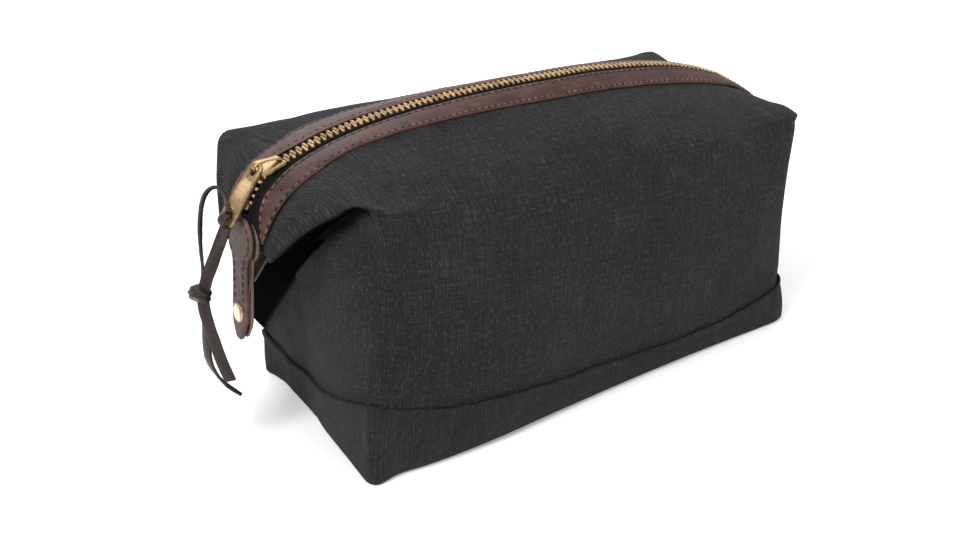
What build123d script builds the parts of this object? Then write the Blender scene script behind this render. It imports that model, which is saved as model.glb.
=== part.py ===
from build123d import *
import math
import os

os.makedirs("parts", exist_ok=True)

# ---------------------------------------------------------------- dimensions, mm
# frame: +X along the bag, -Y is the front face, +Z up, origin at the centre of the base's resting face
HALF_L = 127.0            # half length of the body at the shoulder
SHOULDER_Z = 113.6        # height of the side panels' top edge
# body outline at four heights: z, half length, half width, corner radius
OUTLINE = [(0.0, 124.5, 53.5, 8.0), (16.0, 126.5, 57.0, 10.0), (60.0, 127.5, 61.0, 14.0), (SHOULDER_Z, HALF_L, 56.0, 10.0)]
CANVAS = 1.6              # waxed canvas with its turned seam allowance
BAND_Z = 16.0             # height of the base panel's turned-up band
ARC_X, ARC_Z, ARC_R = -6.0, -309.0, 450.0   # centre and radius of the arched zip line
MOUTH_X = 99.8            # half length of the part of the mouth that opens
HINGE_Y, HINGE_Z = 55.2, 114.4   # fold line of each lip
LIP_Y, LIP_R = 17.0, 445.4       # upper edge of the lips' canvas
TRIM_IN, TRIM_OUT, TRIM_T = 7.4, 19.4, 1.5  # leather trim, inner and outer edge, thickness
TRIM_R0, TRIM_R1 = 449.85, 446.85  # radius of the trim's underside at its two edges
PITCH = 3.0               # tooth pitch of one row
TOOTH_T, TOOTH_H = 1.3, 1.4      # tooth thickness along the chain, half height
CHAIN_HALF = 3.15         # half width of the closed chain
TIP = 1.0                 # how far a tooth reaches past the middle
TAPE_IN, TAPE_OUT = 3.2, 16.4
REST_X = -134.0           # slider's reference point at rest
SLIDER_S0, SLIDER_S1, SLIDER_HALF_W = -9.5, 2.4, 4.7    # slider's two ends along the chain, half width
HINGE_S, HINGE_N = -8.2, 4.3     # pull's cross bar in the slider, along and off the chain
PULL_DROP = 56.0          # pull's angle below horizontal at rest, degrees
PULL_BAR_U = 25.4         # distance from cross bar to the eye's bar
PULL_T = 1.4
PULL_CANT = 4.0           # loose on its bar, the pull leans this far sideways in its own plane, degrees
TAB_TOP_X, TAB_TOP_Z, TAB_TILT = -152.8, 105.0, 3.3
TAB_R, STRAP_HALF, TAB_LEN = 10.0, 5.6, 55.0
PLY_FRONT, PLY_GAP, PLY_REAR = 1.8, 0.8, 1.6
RIVET_DOWN = 42.5         # rivet below the tab's top
LACE_D = 3.0              # round section with the area of the 5 x 1.4 flat lace

nodes = {}


def put(name, shape):
    nodes[name] = shape


def outline_at(z):
    for (z0, l0, w0, r0), (z1, l1, w1, r1) in zip(OUTLINE, OUTLINE[1:]):
        if z0 <= z <= z1:
            t = (z - z0) / (z1 - z0)
            return l0 + t * (l1 - l0), w0 + t * (w1 - w0), r0 + t * (r1 - r0)
    return OUTLINE[-1][1:]


def body_solid(z0, z1, inset, over=0.0):
    """Ruled stack of rounded rectangles between two heights, pulled in by inset."""
    zs = [z0] + [o[0] for o in OUTLINE if z0 + 0.5 < o[0] < z1 - 0.5] + [z1]
    faces = []
    for z in zs:
        l, w, r = outline_at(min(z, SHOULDER_Z))
        faces.append(Plane.XY.offset(z) * RectangleRounded(2 * (l - inset), 2 * (w - inset), max(r - inset, 1.0)))
    return loft([f.face() for f in faces], ruled=True)


def poly(verts, faces):
    fs = [Face(Wire.make_polygon([Vector(*verts[i]) for i in f], close=True)) for f in faces]
    s = Solid(Shell(fs))
    return s


def quads(sections):
    """Ruled loft through four-cornered sections."""
    return Solid.make_loft([Wire.make_polygon([Vector(*p) for p in s], close=True) for s in sections], ruled=True)


def ang(x):
    return math.degrees(math.asin((x - ARC_X) / ARC_R))


def on_arc(a, r):
    a = math.radians(a)
    return ARC_X + r * math.sin(a), ARC_Z + r * math.cos(a)


def ring(points, a0, a1):
    """Polygon of (y, r) points turned about the zip line's centre from angle a0 to a1."""
    pts = []
    for y, r in points:
        x, z = on_arc(a0, r)
        pts.append(Vector(x, y, z))
    f = Face(Wire.make_polygon(pts, close=True))
    return revolve(f, axis=Axis((ARC_X, 0, ARC_Z), (0, 1, 0)), revolution_arc=a1 - a0)


def half(shape, front):
    box = Box(400, 200, 400)
    return shape & (Pos(0, -100.1 if front else 100.1, 100) * box)


# ---------------------------------------------------------------- base and side panels
base = body_solid(0, BAND_Z - 0.15, 0) - body_solid(CANVAS, BAND_Z, CANVAS)
put("base_panel", base)
walls = body_solid(BAND_Z + 0.15, SHOULDER_Z, 0) - body_solid(BAND_Z, SHOULDER_Z + 1, CANVAS)
put("front_panel", half(walls, True))
put("rear_panel", half(walls, False))
lining = body_solid(CANVAS + 0.15, 111.0, CANVAS + 0.3) - body_solid(CANVAS + 0.65, 112.0, CANVAS + 0.8)
put("lining", lining)


# ---------------------------------------------------------------- lips of the mouth
def lip_z(x, r=LIP_R):
    return ARC_Z + math.sqrt(r * r - (x - ARC_X) ** 2)


def lip(side, off, thick, start, end_y):
    """Sloping panel from the fold line to the zip; off moves it inwards."""
    secs = []
    for x in (-MOUTH_X, -50.0, 0.0, 50.0, MOUTH_X):
        ey, ez = LIP_Y, lip_z(x)
        dy, dz = HINGE_Y - ey, ez - HINGE_Z
        n = math.hypot(dy, dz)
        uy, uz = -dy / n, dz / n          # up the slope, |y| falling
        ny, nz = uz, -uy                  # outward normal in |y|, z
        stop = n * (HINGE_Y - end_y) / dy
        row = []
        for along, out in ((start, off - thick / 2), (start, off + thick / 2), (stop, off + thick / 2), (stop, off - thick / 2)):
            row.append((x, side * (HINGE_Y + uy * along + ny * out), HINGE_Z + uz * along + nz * out))
        secs.append(row)
    return quads(secs)


for nm, side in (("front", -1), ("rear", 1)):
    put(f"{nm}_lip", lip(side, 0.0, CANVAS, 0.8, LIP_Y))
    put(f"{nm}_lip_lining", lip(side, -1.3, 0.5, 4.0, LIP_Y + 2.0))


# ---------------------------------------------------------------- fixed ends of the top
def roof(xa, xb, y0, z0, y1, drop, wall_in):
    """Roof prism between two stations; the ridge follows the zip line."""
    v, k = [], 0
    for x in (xa, xb):
        zt = lip_z(x, LIP_R) - drop
        v += [(x, -y0, z0), (x, -y1, zt), (x, y1, zt), (x, y0, z0)]
    f = [(0, 1, 2, 3), (4, 7, 6, 5), (1, 5, 6, 2), (0, 3, 7, 4), (0, 4, 5), (0, 5, 1), (3, 2, 6), (3, 6, 7)]
    return poly(v, f)


def fold(side, xb, xc):
    zt = lip_z(xb) - 0.0
    v = [(xb, -55.0, 113.9), (xb, -18.0, zt), (xb, 18.0, zt), (xb, 55.0, 113.9),
         (xc, -9.6, 89.0), (xc, -9.6, 101.5), (xc, 9.6, 101.5), (xc, 9.6, 89.0)]
    f = [(0, 1, 2, 3), (4, 7, 6, 5), (1, 5, 6, 2), (0, 3, 7, 4), (0, 4, 5), (0, 5, 1), (3, 2, 6), (3, 6, 7)]
    return poly(v, f)


for nm, s in (("left", -1), ("right", 1)):
    xb = s * HALF_L
    outer = roof(s * (MOUTH_X + 0.3), xb, 56.0, SHOULDER_Z + 0.25, 17.0, 0.0, False)
    inner = roof(s * (MOUTH_X - 1.0), xb - s * CANVAS, 53.6, SHOULDER_Z - 1.0, 15.6, 1.9, True)
    put(f"{nm}_end_top", outer - inner)
    xc = -146.0 if s < 0 else 2 * ARC_X + 144.6
    put(f"{nm}_end_fold", fold(s, xb + s * 0.2, xc))

# ---------------------------------------------------------------- zip: tapes, trims, teeth
A_REST = ang(REST_X)
A_END = ang(-143.0)                 # where the zip turns down over the end, mirrored at the other end
A_L, A_R = ang(-MOUTH_X), ang(MOUTH_X)
MARGIN = 0.5                        # degrees turned past each cut before it is made
tape_sec = [(TAPE_IN, 449.7), (TAPE_IN, 450.3), (6.6, 449.9), (TAPE_OUT, 447.4), (TAPE_OUT, 446.8), (6.6, 449.3)]
trim_sec = [(TRIM_IN, TRIM_R0), (TRIM_IN, TRIM_R0 + TRIM_T), (TRIM_OUT, TRIM_R1 + TRIM_T), (TRIM_OUT, TRIM_R1)]


def span(x0, x1):
    return Pos((x0 + x1) / 2, 0, 130) * Box(x1 - x0, 80, 80)


def segs(sec, side):
    """Fixed left end, opening middle and fixed right end, cut square across the bag where the mouth opens."""
    pts = [(side * y, r) for y, r in sec]
    return {"left": ring(pts, A_END, A_L + MARGIN) & span(-200, -MOUTH_X - 0.3),
            "middle": ring(pts, A_L - MARGIN, A_R + MARGIN) & span(-MOUTH_X, MOUTH_X),
            "right": ring(pts, A_R - MARGIN, -A_END) & span(MOUTH_X + 0.3, 200)}


def mirror_end(p, s):
    """A point at the left end, or its twin at the right end, mirrored about the arc's middle."""
    x, y, z = p
    return p if s < 0 else (2 * ARC_X - x, y, z)


for nm, side in (("front", -1), ("rear", 1)):
    for part, sh in segs(trim_sec, side).items():
        if part != "middle":
            s = -1 if part == "left" else 1
            x0, z0 = on_arc(A_END, TRIM_R0)
            x1, z1 = on_arc(A_END, TRIM_R1)
            x0t, z0t = on_arc(A_END, TRIM_R0 + TRIM_T)
            x1t, z1t = on_arc(A_END, TRIM_R1 + TRIM_T)
            top = [(x0, TRIM_IN, z0), (x0t, TRIM_IN, z0t), (x1t, TRIM_OUT, z1t), (x1, TRIM_OUT, z1)]
            mid = [(-146.6, 9.3, 111.0), (-148.1, 9.3, 111.6), (-147.2, 20.2, 108.8), (-145.7, 20.2, 108.2)]
            low = [(-149.2, 11.0, 93.0), (-150.7, 11.0, 93.2), (-150.4, 19.5, 92.2), (-148.9, 19.5, 92.0)]
            end = quads([[mirror_end((x, side * y, z), s) for x, y, z in q] for q in (top, mid, low)])
            sh = sh + end
        put(f"{nm}_trim_{part}", sh)
    for part, sh in segs(tape_sec, side).items():
        if part != "middle":
            s = -1 if part == "left" else 1
            xa, za = on_arc(A_END, 449.5)
            xb_, zb_ = on_arc(A_END, 450.05)
            xc_, zc_ = on_arc(A_END, 448.95)
            xd_, zd_ = on_arc(A_END, 449.5)
            top = [(xa, 5.5, za), (xb_, 5.5, zb_), (xd_, 7.2, zd_), (xc_, 7.2, zc_)]
            mid = [(-147.5, 5.2, 110.4), (-148.0, 5.2, 110.7), (-147.6, 8.8, 110.5), (-147.1, 8.8, 110.2)]
            turn = [(-150.35, 3.6, 105.7), (-150.85, 3.6, 105.9), (-150.85, 8.6, 105.9), (-150.35, 8.6, 105.7)]
            low = [(-150.8, 2.0, 97.0), (-151.3, 2.0, 97.0), (-151.3, 8.5, 97.0), (-150.8, 8.5, 97.0)]
            end = quads([[mirror_end((x, side * y, z), s) for x, y, z in q] for q in (top, mid, turn, low)])
            # the two stretches of one tape, joined at the turn
            sh = sh + end
        put(f"zip_tape_{nm}_{part}", sh)

step = math.degrees(PITCH / ARC_R)


def tooth(a, y0, y1):
    x, z = on_arc(a, ARC_R)
    return Location((x, (y0 + y1) / 2, z), (0, a, 0)) * Box(TOOTH_T, abs(y1 - y0), 2 * TOOTH_H)


rows = {f"teeth_{n}_{p}": [] for n in ("front", "rear") for p in ("left", "middle", "right")}
for nm, side, phase in (("front", -1, 0.0), ("rear", 1, 0.5)):
    for k in range(-60, 61):
        a = (k + phase) * step
        if not (A_END + 0.1 < a < -A_END - 0.1):
            continue
        x, _ = on_arc(a, ARC_R)
        part = "middle" if abs(x) < MOUTH_X - 1.0 else ("left" if x < 0 else "right")
        tip = -TIP
        if a < A_REST - math.degrees(2.5 / ARC_R):
            tip = 1.35                # parted by the slider's divider
        rows[f"teeth_{nm}_{part}"].append(tooth(a, side * tip, side * CHAIN_HALF))
    # parted teeth on the stretch that turns down over each end
    for s, part in ((-1, "left"), (1, "right")):
        for i in range(3):
            t = (1.9 + PITCH * i + (0.0 if side < 0 else PITCH / 2)) / 15.2
            p = (-143.2 - 7.3 * t, 0, 119.0 - 13.3 * t)
            x, _, z = mirror_end(p, s)
            rows[f"teeth_{nm}_{part}"].append(
                Location((x, side * 3.3, z), (0, s * 61.2, 0)) * Box(TOOTH_T, 3.4, 2 * TOOTH_H - 0.6))
for n, r in rows.items():
    put(n, Compound(children=r))

# stops: two small clips at the closed end, one bar at the far end
for nm, side in (("front", -1), ("rear", 1)):
    put(f"top_stop_{nm}", Location((-149.9, side * 2.3, 108.9), (0, -61.2, 0)) * Box(2.8, 2.8, 1.6))
put("bottom_stop", Location((2 * ARC_X + 149.9, 0, 108.9), (0, 61.2, 0)) * Box(2.8, 7.2, 1.6))

# ---------------------------------------------------------------- slider
aL, aR = A_REST + math.degrees(SLIDER_S0 / ARC_R), A_REST + math.degrees(SLIDER_S1 / ARC_R)
a9 = A_REST - math.degrees(9.0 / ARC_R)
W = SLIDER_HALF_W
top_plate = ring([(-W, 450.75), (-W, 452.3), (W, 452.3), (W, 450.75), (W - 1, 450.75), (W - 1, 451.6), (1 - W, 451.6), (1 - W, 450.75)], a9, aR)
low_plate = ring([(-W, 447.45), (W, 447.45), (W, 449.0), (W - 1, 449.0), (W - 1, 448.35), (1 - W, 448.35), (1 - W, 449.0), (-W, 449.0)], aL, aR)
post = ring([(-0.95, 448.2), (0.95, 448.2), (0.95, 451.7), (-0.95, 451.7)], A_REST - math.degrees(8.5 / ARC_R), A_REST - math.degrees(4.5 / ARC_R))
tongue = ring([(-1.5, 451.6), (1.5, 451.6), (1.5, 452.3), (-1.5, 452.3)], A_REST - math.degrees(10.7 / ARC_R), a9 + 0.02)
put("slider_body", (top_plate + low_plate + post + tongue))

sx, sz = on_arc(A_REST, ARC_R)
# local frame of the slider: x_dir along the chain, local y off the chain
local = Plane(origin=(sx, 0, sz), x_dir=(math.cos(math.radians(A_REST)), 0, -math.sin(math.radians(A_REST))), z_dir=(0, -1, 0))
arch_pts = [(1.8, 2.32), (1.8, 3.5), (-6.0, 5.75), (-9.6, 5.75), (-10.7, 4.9), (-10.7, 2.34), (-9.3, 2.34), (-9.3, 4.75), (-9.0, 5.05), (-6.0, 5.05), (0.4, 3.1), (0.4, 2.32)]
arch = extrude(local * make_face(Polyline(arch_pts, close=True)), amount=1.5, both=True)
put("slider_bridge", arch)


def local_point(s, n):
    a = math.radians(A_REST)
    return sx + s * math.cos(a) + n * math.sin(a), sz - s * math.sin(a) + n * math.cos(a)


hx, hz = local_point(HINGE_S, HINGE_N)
dp = math.radians(PULL_DROP)
pu = (-math.cos(dp), -math.sin(dp))     # down the pull, in x, z
# pull drawn flat with local x down its length, local y across (row -Y/+Y), thickness along its normal
cant = math.radians(PULL_CANT)
pull_plane = Plane(origin=(hx, 0, hz), x_dir=(pu[0] * math.cos(cant), math.sin(cant), pu[1] * math.cos(cant)), z_dir=(math.sin(dp), 0, -math.cos(dp)))
outline = Polyline([(0.0, -4.2), (6.0, -4.3), (9.0, -4.7), (25.4, -5.6), (26.6, -4.7), (26.6, 4.7), (25.4, 5.6), (9.0, 4.7), (6.0, 4.3), (0.0, 4.2)], close=True)
plate = extrude(pull_plane * make_face(outline), amount=PULL_T / 2, both=True)
window = extrude(pull_plane * (Pos(2.35, 0) * Rectangle(4.7, 4.0)), amount=3, both=True)
eye = extrude(pull_plane * (Pos(22.5, 0) * Rectangle(3.4, 6.2)), amount=3, both=True)
bar = extrude(Plane(origin=(hx, 0, hz), x_dir=(1, 0, 0), z_dir=(0, 1, 0)) * Circle(0.65), amount=4.0, both=True)
put("pull_tab", plate - window - eye + bar)
bx, bz = hx + pu[0] * PULL_BAR_U, hz + pu[1] * PULL_BAR_U
by = PULL_BAR_U * math.tan(cant)

# ---------------------------------------------------------------- end tabs with their rivets
def tab(s):
    """Keyhole-shaped plies hanging over each end of the zip, riveted together."""
    def shape(r, w, length, tip):
        disc = Pos(0, -TAB_R) * Circle(r)
        neck = make_face(Polyline([(-w - 2.2, -TAB_R - 4), (-w + 0.4, -TAB_R - 14), (-w, -length + tip), (-w * 0.45, -length), (w * 0.45, -length), (w, -length + tip), (w - 0.4, -TAB_R - 14), (w + 2.2, -TAB_R - 4)], close=True))
        return disc + neck
    # local x = row Y, local y = up, extrusion towards +X for the left tab
    pl = Plane(origin=(0, 0, 0), x_dir=(0, 1, 0), z_dir=(1, 0, 0))
    hole = Pos(0, -RIVET_DOWN) * Circle(1.6)
    front = extrude(pl * (shape(TAB_R, STRAP_HALF, TAB_LEN, 3.0) - hole), amount=PLY_FRONT)
    rear = extrude(pl.offset(PLY_FRONT + PLY_GAP) * (shape(TAB_R + 0.7, STRAP_HALF + 0.3, TAB_LEN - 0.8, 3.0) - hole), amount=PLY_REAR)
    t = PLY_FRONT + PLY_GAP + PLY_REAR
    post_ = extrude(pl.offset(-0.05) * (Pos(0, -RIVET_DOWN) * Circle(1.5)), amount=t + 0.1)
    cap = extrude(pl.offset(-1.1) * (Pos(0, -RIVET_DOWN) * Circle(4.4)), amount=1.05)
    cap = fillet(cap.edges().group_by(Axis.X)[0], 0.6)
    back_ = extrude(pl.offset(t + 0.05) * (Pos(0, -RIVET_DOWN) * Circle(3.6)), amount=0.8)
    rivet = post_ + cap + back_
    # middle ply: the zip end's leather filler, carried down between the two outer plies
    fill_ = extrude(pl.offset(PLY_FRONT + 0.08) * (shape(TAB_R - 0.5, STRAP_HALF - 0.4, TAB_LEN - 2.0, 3.0) - (Pos(0, -5.0) * Rectangle(26, 21.0)) - hole), amount=PLY_GAP - 0.16)
    loc = Location((TAB_TOP_X, 0, TAB_TOP_Z), (0, TAB_TILT, 0))
    out = [loc * q for q in (front, rear, fill_, rivet)]
    if s > 0:
        out = [q.mirror(Plane(origin=(ARC_X, 0, 0), z_dir=(1, 0, 0))) for q in out]
    return out


for nm, s in (("left", -1), ("right", 1)):
    f, r, m, rv = tab(s)
    put(f"{nm}_tab_front", f)
    put(f"{nm}_tab_rear", r)
    put(f"{nm}_tab_filler", m)
    put(f"{nm}_rivet", rv)
    # anchor strap: from the rivet's back up to the end seam
    xr, xt = (-127.9, -149.6) if s < 0 else (127.9, 2 * ARC_X + 149.6)
    xm = xr + 0.45 * (xt - xr)
    zr, zm = (101.4, 93.4) if s < 0 else (86.4, 83.0)
    top = [(xr, -4.0, zr), (xr, 4.0, zr), (xr, 4.0, zr - 1.5), (xr, -4.0, zr - 1.5)]
    mid = [(xm, -4.4, zm), (xm, 4.4, zm), (xm - s * 0.7, 4.4, zm - 1.5), (xm - s * 0.7, -4.4, zm - 1.5)]
    low = [(xt, -4.8, 77.6), (xt, 4.8, 77.6), (xt - s * 1.1, 4.8, 76.6), (xt - s * 1.1, -4.8, 76.6)]
    put(f"{nm}_anchor_strap", quads([top, mid, low]))

# ---------------------------------------------------------------- lace through the pull's eye
loop = extrude(Plane(origin=(bx, by, bz), x_dir=(1, 0, 0), z_dir=(0, 1, 0)) * (Circle(3.1) - Circle(1.75)), amount=2.5, both=True)
put("lace_loop", loop)
KNOT = (-171.6, 0.6, 75.6)
LACE_FRONT = [(bx - 1.1, by - 1.1, bz - 2.1), (-160.6, -0.3, 95.2), (-164.4, -1.0, 87.4), (-169.2, -1.2, 80.2), (-171.6, -1.3, 72.0), (-170.0, -1.8, 62.6), (-167.6, -2.2, 52.8), (-165.2, -2.3, 42.8), (-162.0, -2.4, 34.0)]
LACE_REAR = [(bx - 2.2, by + 1.0, bz + 1.6), (-159.8, 5.3, 109.4), (-161.6, 6.1, 114.0), (-166.1, 6.3, 114.3), (-168.9, 5.6, 110.3), (-170.2, 4.6, 104.0), (-171.4, 3.6, 95.6), (-172.6, 2.8, 86.6), (-172.2, 2.2, 77.6), (-169.8, 2.2, 69.2), (-168.4, 2.4, 60.6), (-169.2, 2.6, 51.6), (-169.0, 2.6, 43.0), (-165.6, 2.4, 35.0), (-160.6, 2.0, 28.2), (-155.6, 1.6, 23.4)]


def tube(points, d, name):
    v = [Vector(*p) for p in points]
    radii = []
    for p, q, r in zip(v, v[1:], v[2:]):
        a, b = q - p, r - q
        turn = math.radians(a.get_angle(b))
        radii.append(0.45 * min(a.length, b.length) / math.tan(turn / 2))
    print(name, "radii", [round(r, 1) for r in radii], "runs", [round((b - a).length, 1) for a, b in zip(v, v[1:])])
    path = FilletPolyline(*v, radius=radii)
    w = path.wire() if hasattr(path, "wire") else path
    prof = Plane(origin=v[0], z_dir=(v[1] - v[0]).normalized()) * Circle(d / 2)
    s = sweep(prof.face(), path=w)
    print(name, "length", round(w.length, 2), "volume ratio", round(s.volume / (math.pi * d * d / 4 * w.length), 4))
    return s


put("lace_front", tube(LACE_FRONT, LACE_D, "lace_front"))
put("lace_rear", tube(LACE_REAR, LACE_D, "lace_rear"))
knot = Location(KNOT, (0, 12, 0)) * Box(7.6, 11.0, 6.6)
knot = fillet(knot.edges(), 2.0)
put("lace_knot", knot)

# ---------------------------------------------------------------- write
for name, shape in nodes.items():
    export_step(Compound(children=list(shape.solids())) if len(shape.solids()) > 1 else shape.solids()[0], f"parts/{name}.step")
print(len(nodes), "nodes; hinge", round(hx, 3), round(hz, 3), "bar", round(bx, 3), round(bz, 3), "A_REST", round(A_REST, 3))
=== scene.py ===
import bpy
import math
import numpy as np
from mathutils import Matrix, Vector, noise


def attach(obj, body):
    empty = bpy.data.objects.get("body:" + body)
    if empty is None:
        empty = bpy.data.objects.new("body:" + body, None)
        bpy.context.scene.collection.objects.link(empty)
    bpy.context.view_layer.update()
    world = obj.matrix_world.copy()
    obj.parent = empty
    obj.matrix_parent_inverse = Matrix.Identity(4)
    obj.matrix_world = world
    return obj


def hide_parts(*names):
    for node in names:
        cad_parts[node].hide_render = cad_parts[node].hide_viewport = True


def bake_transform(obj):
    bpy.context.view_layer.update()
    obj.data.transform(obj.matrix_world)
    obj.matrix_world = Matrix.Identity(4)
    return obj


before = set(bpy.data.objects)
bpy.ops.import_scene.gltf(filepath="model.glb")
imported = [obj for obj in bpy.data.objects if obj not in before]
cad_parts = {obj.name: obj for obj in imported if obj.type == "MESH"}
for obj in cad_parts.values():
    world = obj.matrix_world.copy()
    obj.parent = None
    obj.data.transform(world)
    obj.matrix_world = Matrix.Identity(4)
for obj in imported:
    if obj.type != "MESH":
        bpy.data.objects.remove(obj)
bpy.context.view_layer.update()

MM = 0.001

# ------------------------------------------------------------------ camera
AZ, EL, DIST, FOCAL, ROLL = 38.46, 24.25, 636.9, 1328.8, 1.5
a, e, r = math.radians(AZ), math.radians(EL), math.radians(ROLL)
BACK = np.array([-math.sin(a) * math.cos(e), -math.cos(a) * math.cos(e), math.sin(e)])
RIGHT = np.array([math.cos(a), -math.sin(a), 0.0])
UP = np.cross(BACK, RIGHT)
CR, CU = RIGHT * math.cos(r) + UP * math.sin(r), -RIGHT * math.sin(r) + UP * math.cos(r)
EYE = np.array([0, 0, 60.0]) + RIGHT * -18.8 + UP * -19.16 + BACK * DIST
cam_data = bpy.data.cameras.new("camera")
cam_data.sensor_width = 36.0
cam_data.lens = FOCAL * 36.0 / 978.0
cam_data.clip_start, cam_data.clip_end = 0.01, 20.0
cam = bpy.data.objects.new("camera", cam_data)
bpy.context.scene.collection.objects.link(cam)
m = Matrix.Identity(4)
for i in range(3):
    m[i][0], m[i][1], m[i][2], m[i][3] = CR[i], CU[i], BACK[i], EYE[i] * MM
cam.matrix_world = m
bpy.context.scene.camera = cam


# ------------------------------------------------------------------ node helpers
class Nodes:
    """Short-hand for building a material's node tree."""

    def __init__(self, name):
        self.mat = bpy.data.materials.new(name)
        self.mat.use_nodes = True
        self.t = self.mat.node_tree
        self.t.nodes.clear()
        self.out = self.t.nodes.new("ShaderNodeOutputMaterial")
        self.b = self.t.nodes.new("ShaderNodeBsdfPrincipled")
        self.t.links.new(self.b.outputs[0], self.out.inputs[0])

    def put(self, socket, v):
        if isinstance(v, bpy.types.NodeSocket):
            self.t.links.new(v, socket)
        else:
            socket.default_value = v

    def math(self, op, *args, clamp=False):
        n = self.t.nodes.new("ShaderNodeMath")
        n.operation, n.use_clamp = op, clamp
        for i, v in enumerate(args):
            self.put(n.inputs[i], v)
        return n.outputs[0]

    def attr(self, name):
        n = self.t.nodes.new("ShaderNodeAttribute")
        n.attribute_name = name
        return n

    def xyz(self, vec):
        n = self.t.nodes.new("ShaderNodeSeparateXYZ")
        self.put(n.inputs[0], vec)
        return n.outputs

    def vec(self, x, y, z):
        n = self.t.nodes.new("ShaderNodeCombineXYZ")
        for i, v in enumerate((x, y, z)):
            self.put(n.inputs[i], v)
        return n.outputs[0]

    def coords(self):
        return self.t.nodes.new("ShaderNodeTexCoord").outputs["Object"]

    def noise(self, vec, scale, detail=2.0, rough=0.5, distortion=0.0):
        n = self.t.nodes.new("ShaderNodeTexNoise")
        self.put(n.inputs["Vector"], vec)
        n.inputs["Scale"].default_value = scale
        n.inputs["Detail"].default_value = detail
        n.inputs["Roughness"].default_value = rough
        n.inputs["Distortion"].default_value = distortion
        return n.outputs["Fac"]

    def voronoi(self, vec, scale, feature="F1", out="Distance"):
        n = self.t.nodes.new("ShaderNodeTexVoronoi")
        n.feature = feature
        self.put(n.inputs["Vector"], vec)
        n.inputs["Scale"].default_value = scale
        return n.outputs[out]

    def ramp(self, fac, stops):
        n = self.t.nodes.new("ShaderNodeValToRGB")
        self.put(n.inputs[0], fac)
        el = n.color_ramp.elements
        while len(el) < len(stops):
            el.new(0.5)
        for i, (p, c) in enumerate(stops):
            el[i].position = p
            el[i].color = (*c, 1.0) if len(c) == 3 else c
        return n.outputs[0]

    def remap(self, v, a, b, c, d):
        n = self.t.nodes.new("ShaderNodeMapRange")
        self.put(n.inputs[0], v)
        for i, x in enumerate((a, b, c, d)):
            n.inputs[i + 1].default_value = x
        return n.outputs[0]

    def mix(self, fac, a, b):
        n = self.t.nodes.new("ShaderNodeMix")
        n.data_type = "RGBA"
        self.put(n.inputs[0], fac)
        for s, v in ((6, a), (7, b)):
            self.put(n.inputs[s], v if isinstance(v, bpy.types.NodeSocket) else (*v, 1.0))
        return n.outputs[2]

    def bump(self, h, strength=1.0, dist=0.001, normal=None):
        n = self.t.nodes.new("ShaderNodeBump")
        n.inputs["Strength"].default_value = strength
        n.inputs["Distance"].default_value = dist
        self.put(n.inputs["Height"], h)
        if normal is not None:
            self.put(n.inputs["Normal"], normal)
        return n.outputs[0]

    def set(self, **kw):
        names = {"base": "Base Color", "metal": "Metallic", "rough": "Roughness", "spec": "Specular IOR Level",
                 "sheen": "Sheen Weight", "sheen_rough": "Sheen Roughness", "coat": "Coat Weight",
                 "coat_rough": "Coat Roughness", "normal": "Normal", "aniso": "Anisotropic", "sheen_tint": "Sheen Tint"}
        for k, v in kw.items():
            if isinstance(v, tuple) and len(v) == 3:
                v = (*v, 1.0)
            self.put(self.b.inputs[names[k]], v)
        return self.mat


def lin(r, g, b):
    """sRGB 0-255 to linear."""
    out = []
    for c in (r, g, b):
        c = c / 255.0
        out.append(c / 12.92 if c <= 0.04045 else ((c + 0.055) / 1.055) ** 2.4)
    return tuple(out)


def weave(n, u, v, p, q):
    """Height of a plain weave, and which thread is on top; u and v in metres, p and q the thread pitches."""
    su = n.math("SINE", n.math("MULTIPLY", u, math.pi / p))
    sv = n.math("SINE", n.math("MULTIPLY", v, math.pi / q))
    both = n.math("MULTIPLY", su, sv)
    return n.math("POWER", n.math("ABSOLUTE", both), 0.6), both, su, sv


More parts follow.
